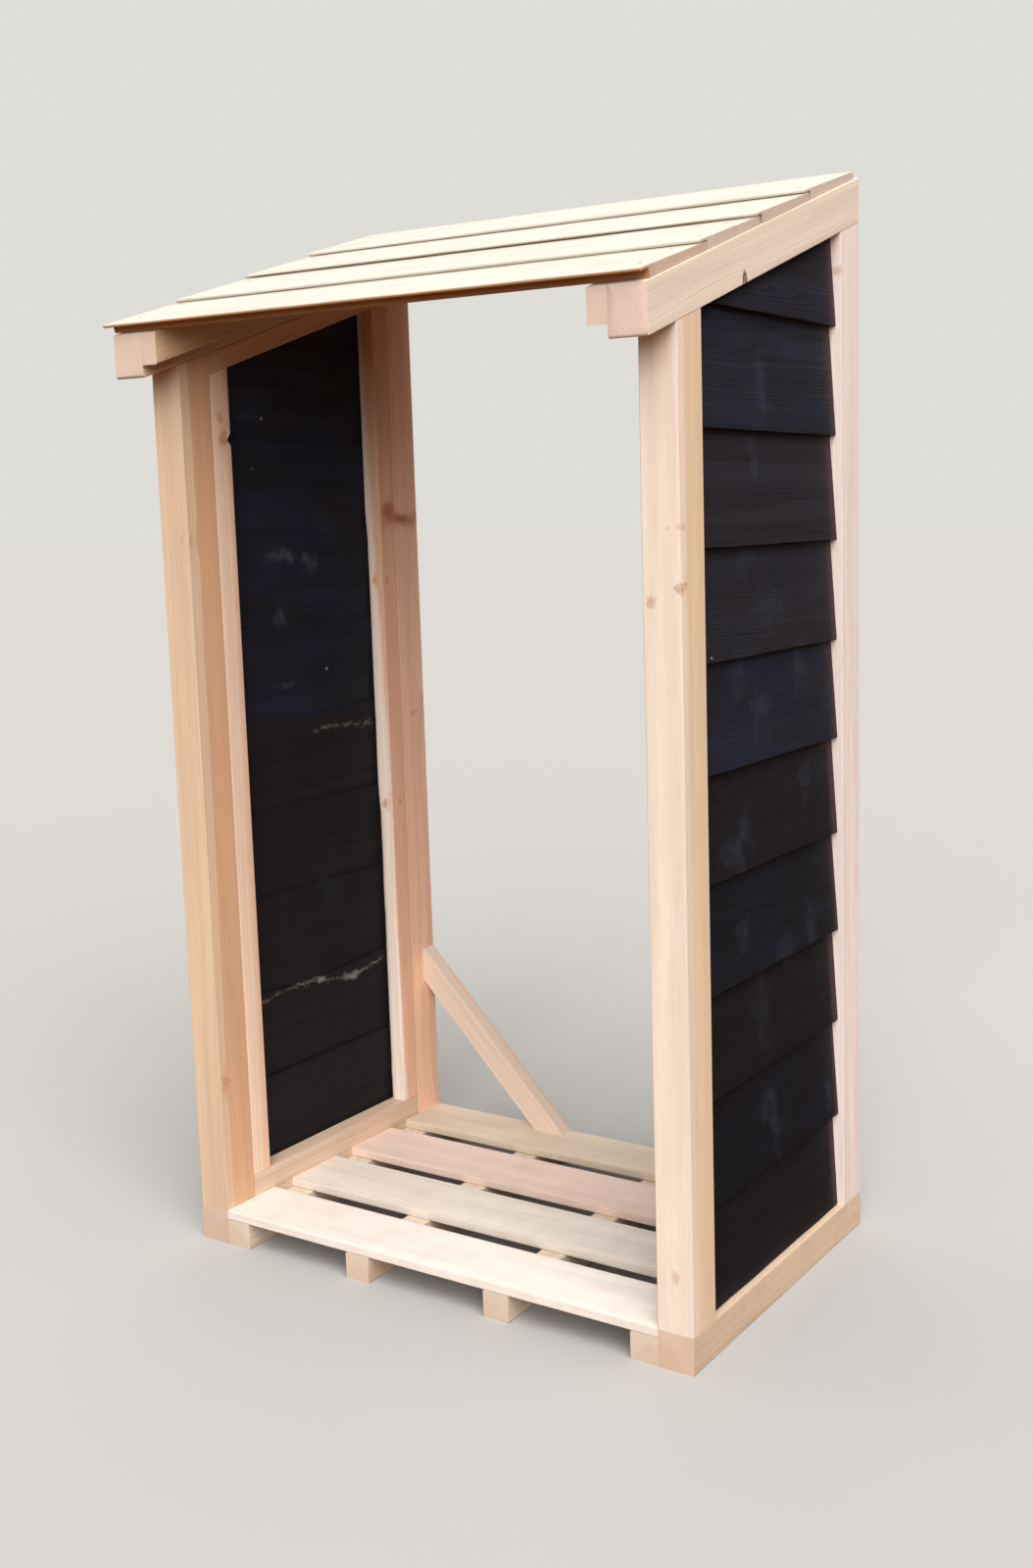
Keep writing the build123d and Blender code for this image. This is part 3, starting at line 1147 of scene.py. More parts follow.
@dataclass(frozen=True)
class SideCladding:
    """Ten lapped boards a side, tapered, sawn and stained black.

    Attributes:
        side: Which side.
        tones: How brown each board is, from the lowest up.
        shades: How light each board is, from the lowest up, in painted light and shade: darkest on the lowest
            boards, lightest on the upper ones with the sky's reflection.
        dips: How far the hidden upper edge of a board dips, by its number from below.
        nail_rows: Y of the stiles that the boards are nailed to.
        nail_stray: How far a nail strays along the board.
        nail_heights: How high above the lower edge the nails are, at least and at most.
        nail_room: The least height of a board that is nailed.
        gap: Gap at each end, between the board and its post.
        edge_wander: How far the lower edges wave up and down, always above the solid's.
        edge_waves: Lengths of those waves.
        lift: How far a lower edge stands off the board below at most.
        lift_waves: Lengths of that lift's waves.
        least: Least height of a board where the rafter cuts it.
        arrises: Radii of the long arrises, in the order of the corners.
        easing: Width of the eased edges of both ends.
        pith_stray: How far the pith strays from the board's middle along X, Y and Z.
        brown_ends: How far the brown tint of a board's rear end reaches.
        end_tone: What that tint adds to the tone at the very end.
        stations: Sections along each board.
    """

    side: Side
    tones: tuple[float, ...]
    shades: tuple[float, ...]
    dips: tuple[tuple[int, float], ...] = ()
    nail_rows: tuple[float, ...] = (-0.176, 0.268)
    nail_stray: float = 0.006
    nail_heights: tuple[float, float] = (0.030, 0.042)
    nail_room: float = 0.06
    gap: float = 0.0012
    edge_wander: float = 0.0018
    edge_waves: tuple[float, ...] = (0.9, 0.37, 0.13)
    lift: float = 0.0012
    lift_waves: tuple[float, ...] = (0.7, 0.21)
    least: float = 0.001
    arrises: tuple[float, ...] = (0.0015, 0.001, 0.001, 0.0012)
    easing: float = 0.0006
    pith_stray: Place = (0.09, 0.0, 0.05)
    brown_ends: float = 0.034
    end_tone: float = 2.2
    stations: int = 41

    def corners(self, solid: np.ndarray, number: int, random: np.random.Generator) -> np.ndarray:
        """The four long edges of a board, read off its solid and made a little uneven.

        The solid's faces are flat, so their X at a height lies in proportion
        between their X at the lower edge and at the highest corner. The upper
        edge follows the solid's outline, cut by the rafter where it is.

        Args:
            solid: The board's corners in the CAD.
            number: Its number from below.
            random: The side's random numbers.

        Returns:
            Lower outer, upper outer, upper inner and lower inner edge, stations x 4 x 3.
        """
        low, high = solid.min(axis=0), solid.max(axis=0)
        y = np.linspace(low[1] + self.gap, high[1] - self.gap, self.stations)
        ends = np.unique(solid[:, 1])
        top = np.interp(y, ends, [solid[solid[:, 1] == end, 2].max() for end in ends])
        span = (y - y[0]) / (y[-1] - y[0])
        top = top - dict(self.dips).get(number, 0.0) * np.sin(math.pi * span) ** 2
        outward = self.side.outward
        foot = np.sort(solid[np.isclose(solid[:, 2], low[2]), 0] * outward)
        head = np.sort(solid[np.isclose(solid[:, 2], high[2]), 0] * outward)
        bottom = low[2] + self.edge_wander * (waves(y, self.edge_waves, random) + 1.0) / 2
        bottom = np.minimum(bottom, top - self.least)
        proud = self.lift * (0.5 + 0.5 * waves(y, self.lift_waves, random))

        lines = []
        for z, face, off in ((bottom, -1, proud), (top, -1, 0.0), (top, 0, 0.0), (bottom, 0, proud)):
            share = (z - low[2]) / (high[2] - low[2])
            x = foot[face] * (1 - share) + head[face] * share + off
            lines.append(np.stack([x * outward, y, z], axis=1))
        return np.stack(lines, axis=1)

    def nail_places(self, corners: np.ndarray, random: np.random.Generator) -> NailPlaces:
        """Where a board's nails go, above its lower edge on both stiles.

        Args:
            corners: The board's long edges.
            random: The side's random numbers.

        Returns:
            Places, and the way the face looks there.
        """
        stray = random.uniform(-self.nail_stray, self.nail_stray, len(self.nail_rows))
        rows = np.array(self.nail_rows) + stray
        up = random.uniform(*self.nail_heights, len(rows))
        low, high = on_edge(corners[:, 0], 1, rows), on_edge(corners[:, 1], 1, rows)
        length = np.linalg.norm(high - low, axis=1, keepdims=True)
        rise = (high - low) / length
        normals = np.cross((0.0, self.side.outward, 0.0), rise)
        room = length[:, 0] > self.nail_room
        return (low + rise * up[:, None])[room], normals[room]

    def build(self, material: bpy.types.Material, seed: int) -> NailPlaces:
        """Makes one piece for each of the two nodes that share the boards.

        Args:
            material: The boards' finish.
            seed: Start of this side's random numbers.

        Returns:
            Places and normals of the nails.
        """
        random = np.random.default_rng(seed)
        nails = []
        for first, word in ((1, "odd"), (2, "even")):
            node = f"{self.side.label}_{word}_boards"
            skin = Skin()
            for index, solid in enumerate(solids_of(node)):
                number = first + 2 * index
                corners = self.corners(solid, number, random)
                rings = sections(corners, rounded(self.arrises, self.stations))
                self.add_board(skin, closed_rings(rings, self.easing), number, random)
                nails.append(self.nail_places(corners, random))
            skin.piece(f"{self.side.label}_{word}_cladding", material, Slot.BLACK, node)
        return joined(nails)

    def add_board(self, skin: Skin, rings: np.ndarray, number: int,
                  random: np.random.Generator) -> None:
        """Adds one board with its own tree, and a tone that turns brown over its rear end.

        Args:
            skin: The piece's surfaces.
            rings: The board's closed rings.
            number: Its number from below.
            random: The side's random numbers.
        """
        aside, back, up = self.pith_stray
        pith = np.array([random.uniform(-aside, aside), back, random.uniform(-up, up)])
        pith += rings.mean(axis=(0, 1))
        grain = Grain(Lie.BACKWARD, tuple(pith), 3.0 * number + random.uniform(0.0, 1.0))
        from_rear = rings[:, :, 1].max() - rings[:, :, 1]
        brown = np.clip(1.0 - from_rear / self.brown_ends, 0.0, 1.0)
        tone = self.tones[number - 1] + self.end_tone * brown
        shade = np.full(tone.shape + (3,), self.shades[number - 1])
        skin.add(rings, grain=grain.inside(rings.reshape(-1, 3)), tone=tone, shade=shade)


@dataclass(frozen=True)
class RoofBoards:
    """Four boards rebated over one another on the rafters, tapered, sawn and left bare.

    Attributes:
        nail_columns: X of the rafters' middles, where the boards are nailed.
        nail_shares: How far up each board the nails are, as shares of its width.
        nail_stray: How far a nail strays along the board.
        share_stray: How far a nail strays up the board, as a share of its width.
        wander: How far the front and rear edges wave along the slope.
        edge_waves: Lengths of those waves.
        bow: How far the faces wave square to the slope.
        face_waves: Lengths of those waves.
        ragged: How far the ends stop short of the longest board at most.
        undercut: How far the lip of each board is worn away underneath.
        undercut_back: How much further that wear reaches backwards than up.
        deep: The wear past which a lip is whole again at its right end.
        whole: Sections over which it becomes whole.
        arrises: Radii of the other long arrises, in the order of the corners.
        easing: Width of the eased edges of both ends.
        pole: Where the pole of an end is: behind the rebate, and above the middle there.
        pith_stray: How far the pith strays along Y.
        pith_depths: How deep the pith is below the board's middle, at least and at most.
        amber_lips: How amber the lip of each board is, in painted shade.
        amber_start: How far below the top face the amber starts.
        amber_depth: How much deeper it is full.
        amber_reach: How far behind the lip it fades.
        stations: Sections along each board.
    """

    nail_columns: tuple[float, ...] = (-0.479, 0.493)
    nail_shares: tuple[float, ...] = (0.24, 0.76)
    nail_stray: float = 0.005
    share_stray: float = 0.02
    wander: float = 0.0012
    edge_waves: tuple[float, ...] = (0.8, 0.31, 0.12)
    bow: float = 0.0005
    face_waves: tuple[float, ...] = (0.9, 0.43, 0.17)
    ragged: float = 0.003
    undercut: tuple[float, ...] = (0.0012, 0.0014, 0.0040, 0.0014)
    undercut_back: float = 2.5
    deep: float = 0.003
    whole: int = 7
    arrises: tuple[float, ...] = (0.0016, 0.0012, 0.0008, 0.0008, 0.0006)
    easing: float = 0.0006
    pole: tuple[float, float] = (0.020, -0.0006)
    pith_stray: float = 0.04
    pith_depths: tuple[float, float] = (0.05, 0.12)
    amber_lips: tuple[float, ...] = (1.0, 0.10, 0.24, 0.08)
    amber_start: float = 0.0008
    amber_depth: float = 0.002
    amber_reach: float = 0.06
    stations: int = 61

    def outline(self, solid: np.ndarray) -> np.ndarray:
        """The six corners of a board's section as distances along and square to the slope.

        Sorted along the slope they come in pairs, each with its lower corner first:
        the lip, the back of the rebate and the rear edge.

        Args:
            solid: The board's corners in the CAD.

        Returns:
            Lip below, lip above, rear above, rear below, rebate below, rebate above: 6 x 2.
        """
        flat = np.unique((solid[:, 1:] @ SLOPE_AXES.T).round(CORNER_DIGITS), axis=0)
        pairs = flat[np.argsort(flat[:, 0])].reshape(3, 2, 2)
        lip, rebate, rear = (pair[np.argsort(pair[:, 1])] for pair in pairs)
        return np.array([lip[0], lip[1], rear[1], rear[0], rebate[0], rebate[1]])

    def corners(self, solid: np.ndarray, random: np.random.Generator) -> tuple[np.ndarray, np.ndarray]:
        """The six long edges of a board, a little wavy, and the poles of its ends.

        Args:
            solid: The board's corners in the CAD.
            random: The roof's random numbers.

        Returns:
            Edges, stations x 6 x 3, and poles, 2 x 3.
        """
        outline = self.outline(solid)
        low, high = solid[:, 0].min(), solid[:, 0].max()
        left = low + random.uniform(0.0, self.ragged)
        right = high - random.uniform(0.0, self.ragged)
        x = np.linspace(left, right, self.stations)
        edge_wave = self.wander * (waves(x, self.edge_waves, random) + 1.0) / 2
        face_wave = self.bow * (waves(x, self.face_waves, random) - 1.0)
        inset = np.array([1.0, 1.0, -1.0, -1.0, 0.0, 0.0])
        lifted = np.array([0.0, 1.0, 0.6, 0.0, 0.0, 0.0])
        along = outline[:, 0] + inset * edge_wave[:, None]
        square = outline[:, 1] + lifted * face_wave[:, None]
        lines = np.stack([along, square], axis=2) @ SLOPE_AXES
        lines = np.concatenate([np.broadcast_to(x[:, None, None], along.shape + (1,)), lines], axis=2)
        pole = (np.array([outline[4, 0], (outline[5, 1] + outline[1, 1]) / 2]) + self.pole) @ SLOPE_AXES
        return lines, np.array([(x[0], *pole), (x[-1], *pole)])

    def amber(self, rings: np.ndarray, corners: np.ndarray, number: int) -> np.ndarray:
        """How amber each point is, in painted shade: the lip, and half as much of it underneath.

        It grows in proportion to the depth below the top face until it is full, and
        fades in proportion to the distance behind the lip.

        Args:
            rings: The board's closed rings.
            corners: Its long edges.
            number: Its number from the front.

        Returns:
            From 0 to 1 for each point.
        """
        along, square = np.moveaxis(rings[:, :, 1:] @ SLOPE_AXES.T, 2, 0)
        lip, rear = (corners[:, corner, 1:].mean(axis=0) @ SLOPE_AXES.T for corner in (1, 2))
        top = lip[1] + (along - lip[0]) * (rear[1] - lip[1]) / (rear[0] - lip[0])
        below = np.clip((top - square - self.amber_start) / self.amber_depth, 0.0, 1.0)
        near = np.clip(1.25 - (along - lip[0]) / self.amber_reach, 0.5, 1.0)
        return self.amber_lips[number - 1] * below * near

    def nail_places(self, corners: np.ndarray, random: np.random.Generator) -> NailPlaces:
        """Two nails on each rafter, near the front edge and near the rear edge of a board.

        Args:
            corners: The board's long edges.
            random: The roof's random numbers.

        Returns:
            Places, and the way the face looks there.
        """
        columns = np.repeat(self.nail_columns, len(self.nail_shares))
        columns = columns + random.uniform(-self.nail_stray, self.nail_stray, len(columns))
        shares = np.tile(self.nail_shares, len(self.nail_columns))
        shares = shares + random.uniform(-self.share_stray, self.share_stray, len(shares))
        front = on_edge(corners[:, 1], 0, columns)
        rise = on_edge(corners[:, 2], 0, columns) - front
        normals = np.cross((1.0, 0.0, 0.0), rise)
        normals /= np.linalg.norm(normals, axis=1, keepdims=True)
        return front + rise * shares[:, None], normals

    def build(self, effects: Effects, finish: TimberFinish, seed: int) -> NailPlaces:
        """Makes one piece for each board.

        Args:
            effects: The shared effects.
            finish: The boards' finish.
            seed: Start of the random numbers.

        Returns:
            Places and normals of the nails.
        """
        random = np.random.default_rng(seed)
        nails = []
        solids = [solids_of(f"roof_board_{number + 1}")[0] for number in range(len(self.undercut))]
        laps = [self.outline(solid)[1, 0] for solid in solids[1:]] + [None]
        for number, (solid, worn, lap) in enumerate(zip(solids, self.undercut, laps), 1):
            corners, poles = self.corners(solid, random)
            reaches = rounded((worn, *self.arrises), self.stations)
            reaches[:, 0, 0] *= self.undercut_back
            if worn > self.deep:
                reaches[-self.whole:, 0] *= np.linspace(0.9, 0.25, self.whole)[:, None]
            rings = closed_rings(sections(corners, reaches, flats=7), self.easing, poles)
            aside, down = random.uniform(-self.pith_stray, self.pith_stray), random.uniform(*self.pith_depths)
            pith = rings.mean(axis=(0, 1)) + np.array([0.0, aside, -down])
            grain = Grain(Lie.SIDEWAYS, tuple(pith), 5.0 * number)
            skin = Skin()
            amber = self.amber(rings, corners, number)
            skin.add(rings, grain=grain.inside(rings.reshape(-1, 3)), amber=amber)
            material = finish.material(f"sawn_board_{number}", effects, Lie.SIDEWAYS, amber=True, lap=lap)
            skin.piece(f"sawn_roof_board_{number}", material, Slot.ROOF, f"roof_board_{number}")
            nails.append(self.nail_places(corners, random))
        return joined(nails)


# The grain of a timber starts at one of so many lengths, so far apart.
STARTS, START_STEP = 97, 0.37


@dataclass(frozen=True)
class Timber:
    """A timber that keeps its CAD shape and gets a finish of its own.

    Attributes:
        node: The CAD node.
        lie: How it lies.
        finish: Its finish.
        pith: Where the pith lies from the middle of the node's box, in the frame's axes.
        knots: Its knots.
        stains: Its resin stains.
    """

    node: str
    lie: Lie
    finish: TimberFinish
    pith: Place
    knots: tuple[Knot, ...] = ()
    stains: tuple[Spot, ...] = ()

    def material(self, effects: Effects) -> bpy.types.Material:
        """The timber's finish, its grain started at a length from the letters of its name.

        Args:
            effects: The shared effects.

        Returns:
            The material.
        """
        low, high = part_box(self.node)
        start = START_STEP * (sum(map(ord, self.node)) % STARTS)
        grain = Grain(self.lie, tuple((low + high) / 2 + Vector(self.pith)), start)
        return self.finish.material(f"{self.node}_timber", effects, self.lie, grain, self.knots, self.stains)

    def dress(self, effects: Effects) -> None:
        """Gives the CAD node's object its material.

        Args:
            effects: The shared effects.
        """
        material = self.material(effects)
        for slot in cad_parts[self.node].material_slots:
            slot.material = material
        LOG.info("%s: dressed, %d knots", self.node, len(self.knots))


@dataclass(frozen=True)
class Loss:
    """Wood missing along one arris.

    Attributes:
        corner: Which of the four arrises, in the section's order.
        places: Where the loss is given: heights, or Y for a timber along the slope.
        before: How far it reaches on the face before the arris, at each place.
        after: How far it reaches on the face after the arris.
        flat: From 0 for a round arris to 1 for a flat one, more for a hollow.
    """

    corner: int
    places: tuple[float, ...]
    before: tuple[float, ...]
    after: tuple[float, ...]
    flat: float


@dataclass(frozen=True)
class WornTimber:
    """A timber with wood missing from its arrises, which stands for its CAD node.

    Attributes:
        timber: The timber.
        losses: Where its arrises are broken or waney.
        edge: Radius of its planed arrises.
        easing: Width of the eased edges of both ends.
        depth: Depth of a sloping timber square to the slope.
        toe: Rounded lower corner of a sloping timber's front end.
        toe_shares: Sections on that rounding, as shares of its radius.
        stations: Sections along it, and along each loss besides.
        rough: How rough the losses are.
        rough_waves: Lengths of their waves.
    """

    timber: Timber
    losses: tuple[Loss, ...]
    edge: float = 0.002
    easing: float = 0.0004
    depth: float = 0.070
    toe: float = 0.005
    toe_shares: tuple[float, ...] = (0.15, 0.4, 0.7, 1.0)
    stations: int = 30
    rough: float = 0.12
    rough_waves: tuple[float, ...] = (0.21, 0.06, 0.023)

    def upright_corners(self, share: np.ndarray) -> np.ndarray:
        """Corner lines of an upright timber, whose top follows the roof.

        Args:
            share: Places along it, from 0 to 1.

        Returns:
            Stations x 4 x 3.
        """
        low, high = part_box(self.timber.node)
        plan = np.array([(low.x, low.y), (high.x, low.y), (high.x, high.y), (low.x, high.y)])
        tops = high.z - (high.y - plan[:, 1]) * math.tan(ROOF_ANGLE)
        z = low.z + share[:, None] * (tops - low.z)
        return np.stack([*(np.broadcast_to(line, z.shape) for line in plan.T), z], axis=2)

    def sloping_corners(self, share: np.ndarray) -> np.ndarray:
        """Corner lines of a timber along the slope with plumb ends.

        The lower face rises to the toe's arc, r - sqrt(r^2 - (r - d)^2), where the
        distance d from the front end is less than the toe's radius r.

        Args:
            share: Places along it, from 0 to 1.

        Returns:
            Stations x 4 x 3.
        """
        low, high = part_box(self.timber.node)
        y = low.y + share * (high.y - low.y)
        top = high.z - (high.y - y) * math.tan(ROOF_ANGLE)
        short = np.clip(self.toe - (y - low.y), 0.0, self.toe)
        bottom = top - self.depth / math.cos(ROOF_ANGLE) + self.toe - np.sqrt(self.toe ** 2 - short ** 2)
        x, z = (low.x, high.x, high.x, low.x), (bottom, bottom, top, top)
        lines = [np.stack([np.full_like(y, across), y, height], axis=1) for across, height in zip(x, z)]
        return np.stack(lines, axis=1)

    def reaches(self, along: np.ndarray, random: np.random.Generator) -> np.ndarray:
        """How far each arris is gone at each station, rough where wood is missing.

        Args:
            along: The stations, in the frame's own measure.
            random: The timber's random numbers.

        Returns:
            Reaches for the sections, stations x 4 x 3.
        """
        made = rounded((self.edge,) * 4, len(along))
        for loss in self.losses:
            rough = 1 + self.rough * waves(along, self.rough_waves, random)
            gone = [np.interp(along, loss.places, values) * rough for values in (loss.before, loss.after)]
            lost = np.maximum(*gone) > self.edge
            made[:, loss.corner, :2] = np.maximum(made[:, loss.corner, :2], np.stack(gone, axis=1))
            made[lost, loss.corner, 2] = loss.flat
        return made

    def build(self, effects: Effects, seed: int) -> None:
        """Makes the piece and gives it the timber's own finish.

        Args:
            effects: The shared effects.
            seed: Start of the random numbers.
        """
        low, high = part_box(self.timber.node)
        axis = 2 if self.timber.lie is Lie.UPRIGHT else 1
        fine = [np.linspace(loss.places[0], loss.places[-1], self.stations) for loss in self.losses]
        toe = low[axis] + self.toe * np.array(self.toe_shares)
        along = np.unique(np.concatenate([np.linspace(low[axis], high[axis], self.stations), toe, *fine]))
        share = (along - low[axis]) / (high[axis] - low[axis])
        corners = self.upright_corners(share) if axis == 2 else self.sloping_corners(share)
        reaches = self.reaches(along, np.random.default_rng(seed))
        skin = Skin()
        skin.add(closed_rings(sections(corners, reaches, flats=4, steps=6), self.easing))
        node = self.timber.node
        skin.piece(f"{node}_worn", self.timber.material(effects), Slot.FRAME, node)


@dataclass(frozen=True)
class Camera:
    """The camera, at the photograph's viewing angle.

    Attributes:
        place: Where it stands.
        turn: Euler angles in degrees.
        lens: Focal length in millimetres.
        sensor: The picture's long side in millimetres.
        shift: How far the picture's middle is off the optical axis.
        clip: The nearest and the furthest distance that it sees.
    """

    place: Place = (1.7040, -2.3588, 1.3211)
    turn: Place = (81.674, 1.268, 31.451)
    lens: float = 38.434
    sensor: float = 36.0
    shift: tuple[float, float] = (-0.0662, -0.0209)
    clip: tuple[float, float] = (0.05, 200.0)

    def build(self) -> None:
        """Makes the camera and uses it for the scene."""
        data = bpy.data.cameras.new("camera")
        data.lens, data.sensor_width = self.lens, self.sensor
        data.shift_x, data.shift_y = self.shift
        data.clip_start, data.clip_end = self.clip
        camera = linked("camera", data)
        camera.location = self.place
        camera.rotation_euler = [math.radians(angle) for angle in self.turn]
        bpy.context.scene.camera = camera


@dataclass(frozen=True)
class OpenSky:
    """A lamp as soft as a part of an overcast sky.

    Attributes:
        name: Its name.
        height: Its height over the horizon, in degrees.
        bearing: How far it stands from straight ahead towards the right, in degrees.
        width: How wide it is, in degrees.
        strength: Its strength.
        colour: Its colour.
    """

    name: str
    height: float
    bearing: float
    width: float
    strength: float
    colour: Place = (1.0, 0.995, 0.985)

    def build(self) -> None:
        """Makes the lamp."""
        data = bpy.data.lights.new(self.name, "SUN")
        data.angle = math.radians(self.width)
        data.energy, data.color = self.strength, self.colour
        up, turn = math.radians(self.height), math.radians(self.bearing)
        side = Vector((math.cos(up) * math.sin(turn), -math.cos(up) * math.cos(turn), math.sin(up)))
        linked(self.name, data).rotation_euler = side.to_track_quat("Z", "Y").to_euler()


@dataclass(frozen=True)
class Studio:
    """A plain pale floor under soft light from above and in front.

    The floor and the backdrop look pale to the camera, and give back to the object
    only as much light as dark, reddish ground does, so that its undersides stay dark.

    Attributes:
        half: Half the floor's side.
        pale: Colour of the floor.
        backdrop: Colour of what lies beyond it, the same as the lit floor's.
        ground: Colour with which the floor lights the object.
        dim: Colour of the faint light from all round.
        lamps: The lamps.
    """

    half: float = 60.0
    pale: Colour = screen(177, 175, 172)
    backdrop: Colour = screen(223, 221, 216)
    ground: Colour = screen(98, 68, 50)
    dim: Colour = screen(48, 40, 36)
    lamps: tuple[OpenSky, ...] = (
        OpenSky("front_sky", 35.0, 45.0, 56.0, 3.10),
        OpenSky("low_sky", 8.0, 14.0, 60.0, 1.50),
        OpenSky("high_sky", 62.0, 57.0, 60.0, 1.32),
        OpenSky("overhead", 86.0, 0.0, 70.0, 1.34),
        OpenSky("left_sky", 24.0, -86.0, 50.0, 0.60),
        OpenSky("rear_sky", 24.0, 208.0, 60.0, 0.95))

    def build(self) -> None:
        """Makes the floor, the surroundings and the lamps."""
        mesh = bpy.data.meshes.new("floor")
        signs = ((-1, -1), (1, -1), (1, 1), (-1, 1))
        mesh.from_pydata([(self.half * x, self.half * y, 0.0) for x, y in signs], [], [(0, 1, 2, 3)])
        made, g = empty_material("pale_floor")
        self.two_faced(g, "ShaderNodeBsdfDiffuse", self.ground, self.pale, "ShaderNodeOutputMaterial")
        mesh.materials.append(made)
        linked("floor", mesh)
        world = bpy.data.worlds.new("surroundings")
        bpy.context.scene.world = world
        world.use_nodes = True
        world.node_tree.nodes.clear()
        g = Graph(world.node_tree)
        self.two_faced(g, "ShaderNodeBackground", self.dim, self.backdrop, "ShaderNodeOutputWorld")
        for lamp in self.lamps:
            lamp.build()

    def two_faced(self, graph: Graph, kind: str, lights: Colour, shows: Colour, output: str) -> None:
        """Ends a graph in two plain shaders of one kind.

        Args:
            graph: The floor's or the surroundings' graph.
            kind: The shaders' type.
            lights: Colour with which it lights the object.
            shows: Colour that the camera sees.
            output: The output node's type.
        """
        seen = graph.wire("ShaderNodeLightPath", output="Is Camera Ray")
        first, second = (graph.wire(kind, {"Color": colour}) for colour in (lights, shows))
        mixed = graph.wire("ShaderNodeMixShader", {0: seen, 1: first, 2: second})
        graph.node(output, {"Surface": mixed})


def wood(sapwood: tuple[int, int, int], heartwood: tuple[int, int, int], **settings: object) -> TimberFinish:
    """A finish whose latewood is its heartwood, browner and darker.

    Args:
        sapwood: Screen colour of the sapwood.
        heartwood: Screen colour of the heartwood.
        settings: More of the finish's fields.

    Returns:
        The finish.
    """
    late = [round(value * share) for value, share in zip(heartwood, LATEWOOD)]
    return TimberFinish(screen(*sapwood), screen(*heartwood), screen(*late), **settings)


def front_knot(x: float, z: float, radius: float, dark: float, y: float = -0.270) -> Knot:
    """A knot in a front face, the posts' unless Y says otherwise."""
    return Knot((x, y, z), FRONTWARD, radius, dark)


def inner_knot(y: float, z: float, radius: float, dark: float) -> Knot:
    """A knot in the inner face of the left side frame."""
    return Knot((LEFT_INNER, y, z), RIGHTWARD, radius, dark)


def spots(x: float, rows: Sequence[tuple[float, ...]]) -> tuple[Spot, ...]:
    """Marks at one X, on faces that look right.

    Args:
        x: Where the faces are.
        rows: Y, Z, half width, half height, strength and, where it isn't the usual, how torn.

    Returns:
        The marks.
    """
    return tuple(Spot((x, y, z), (SPOT_DEPTH, wide, high), RIGHTWARD, *others)
                 for y, z, wide, high, *others in rows)


# X of the faces that the marks are on, and half a mark's size along X.
LEFT_INNER, RIGHT_OUTER, LEFT_BOARDS, RIGHT_BOARDS = -0.447, 0.525, -0.487, 0.511
SPOT_DEPTH = 0.06
# Latewood's share of the heartwood's red, green and blue.
LATEWOOD = (0.88, 0.79, 0.70)
SAWN = TimberFinish(screen(203, 196, 184), screen(198, 188, 170), screen(186, 170, 148),
                    screen(200, 172, 158), contrast=0.25, sawn=1.0, heart_radius=0.03, roughness=0.72)
PINK = wood((222, 200, 182), (216, 184, 160))
BEARER = wood((224, 208, 188), (218, 192, 166), end=screen(214, 194, 176))
RAIL = wood((220, 194, 168), (212, 180, 150), end=screen(214, 184, 164))
FLOOR_BOARDS = (wood((237, 226, 217), (235, 219, 207), contrast=0.16),
                wood((225, 214, 203), (221, 205, 189), contrast=0.2),
                wood((228, 202, 189), (224, 193, 175), contrast=0.2),
                wood((216, 198, 176), (210, 188, 163), contrast=0.22))


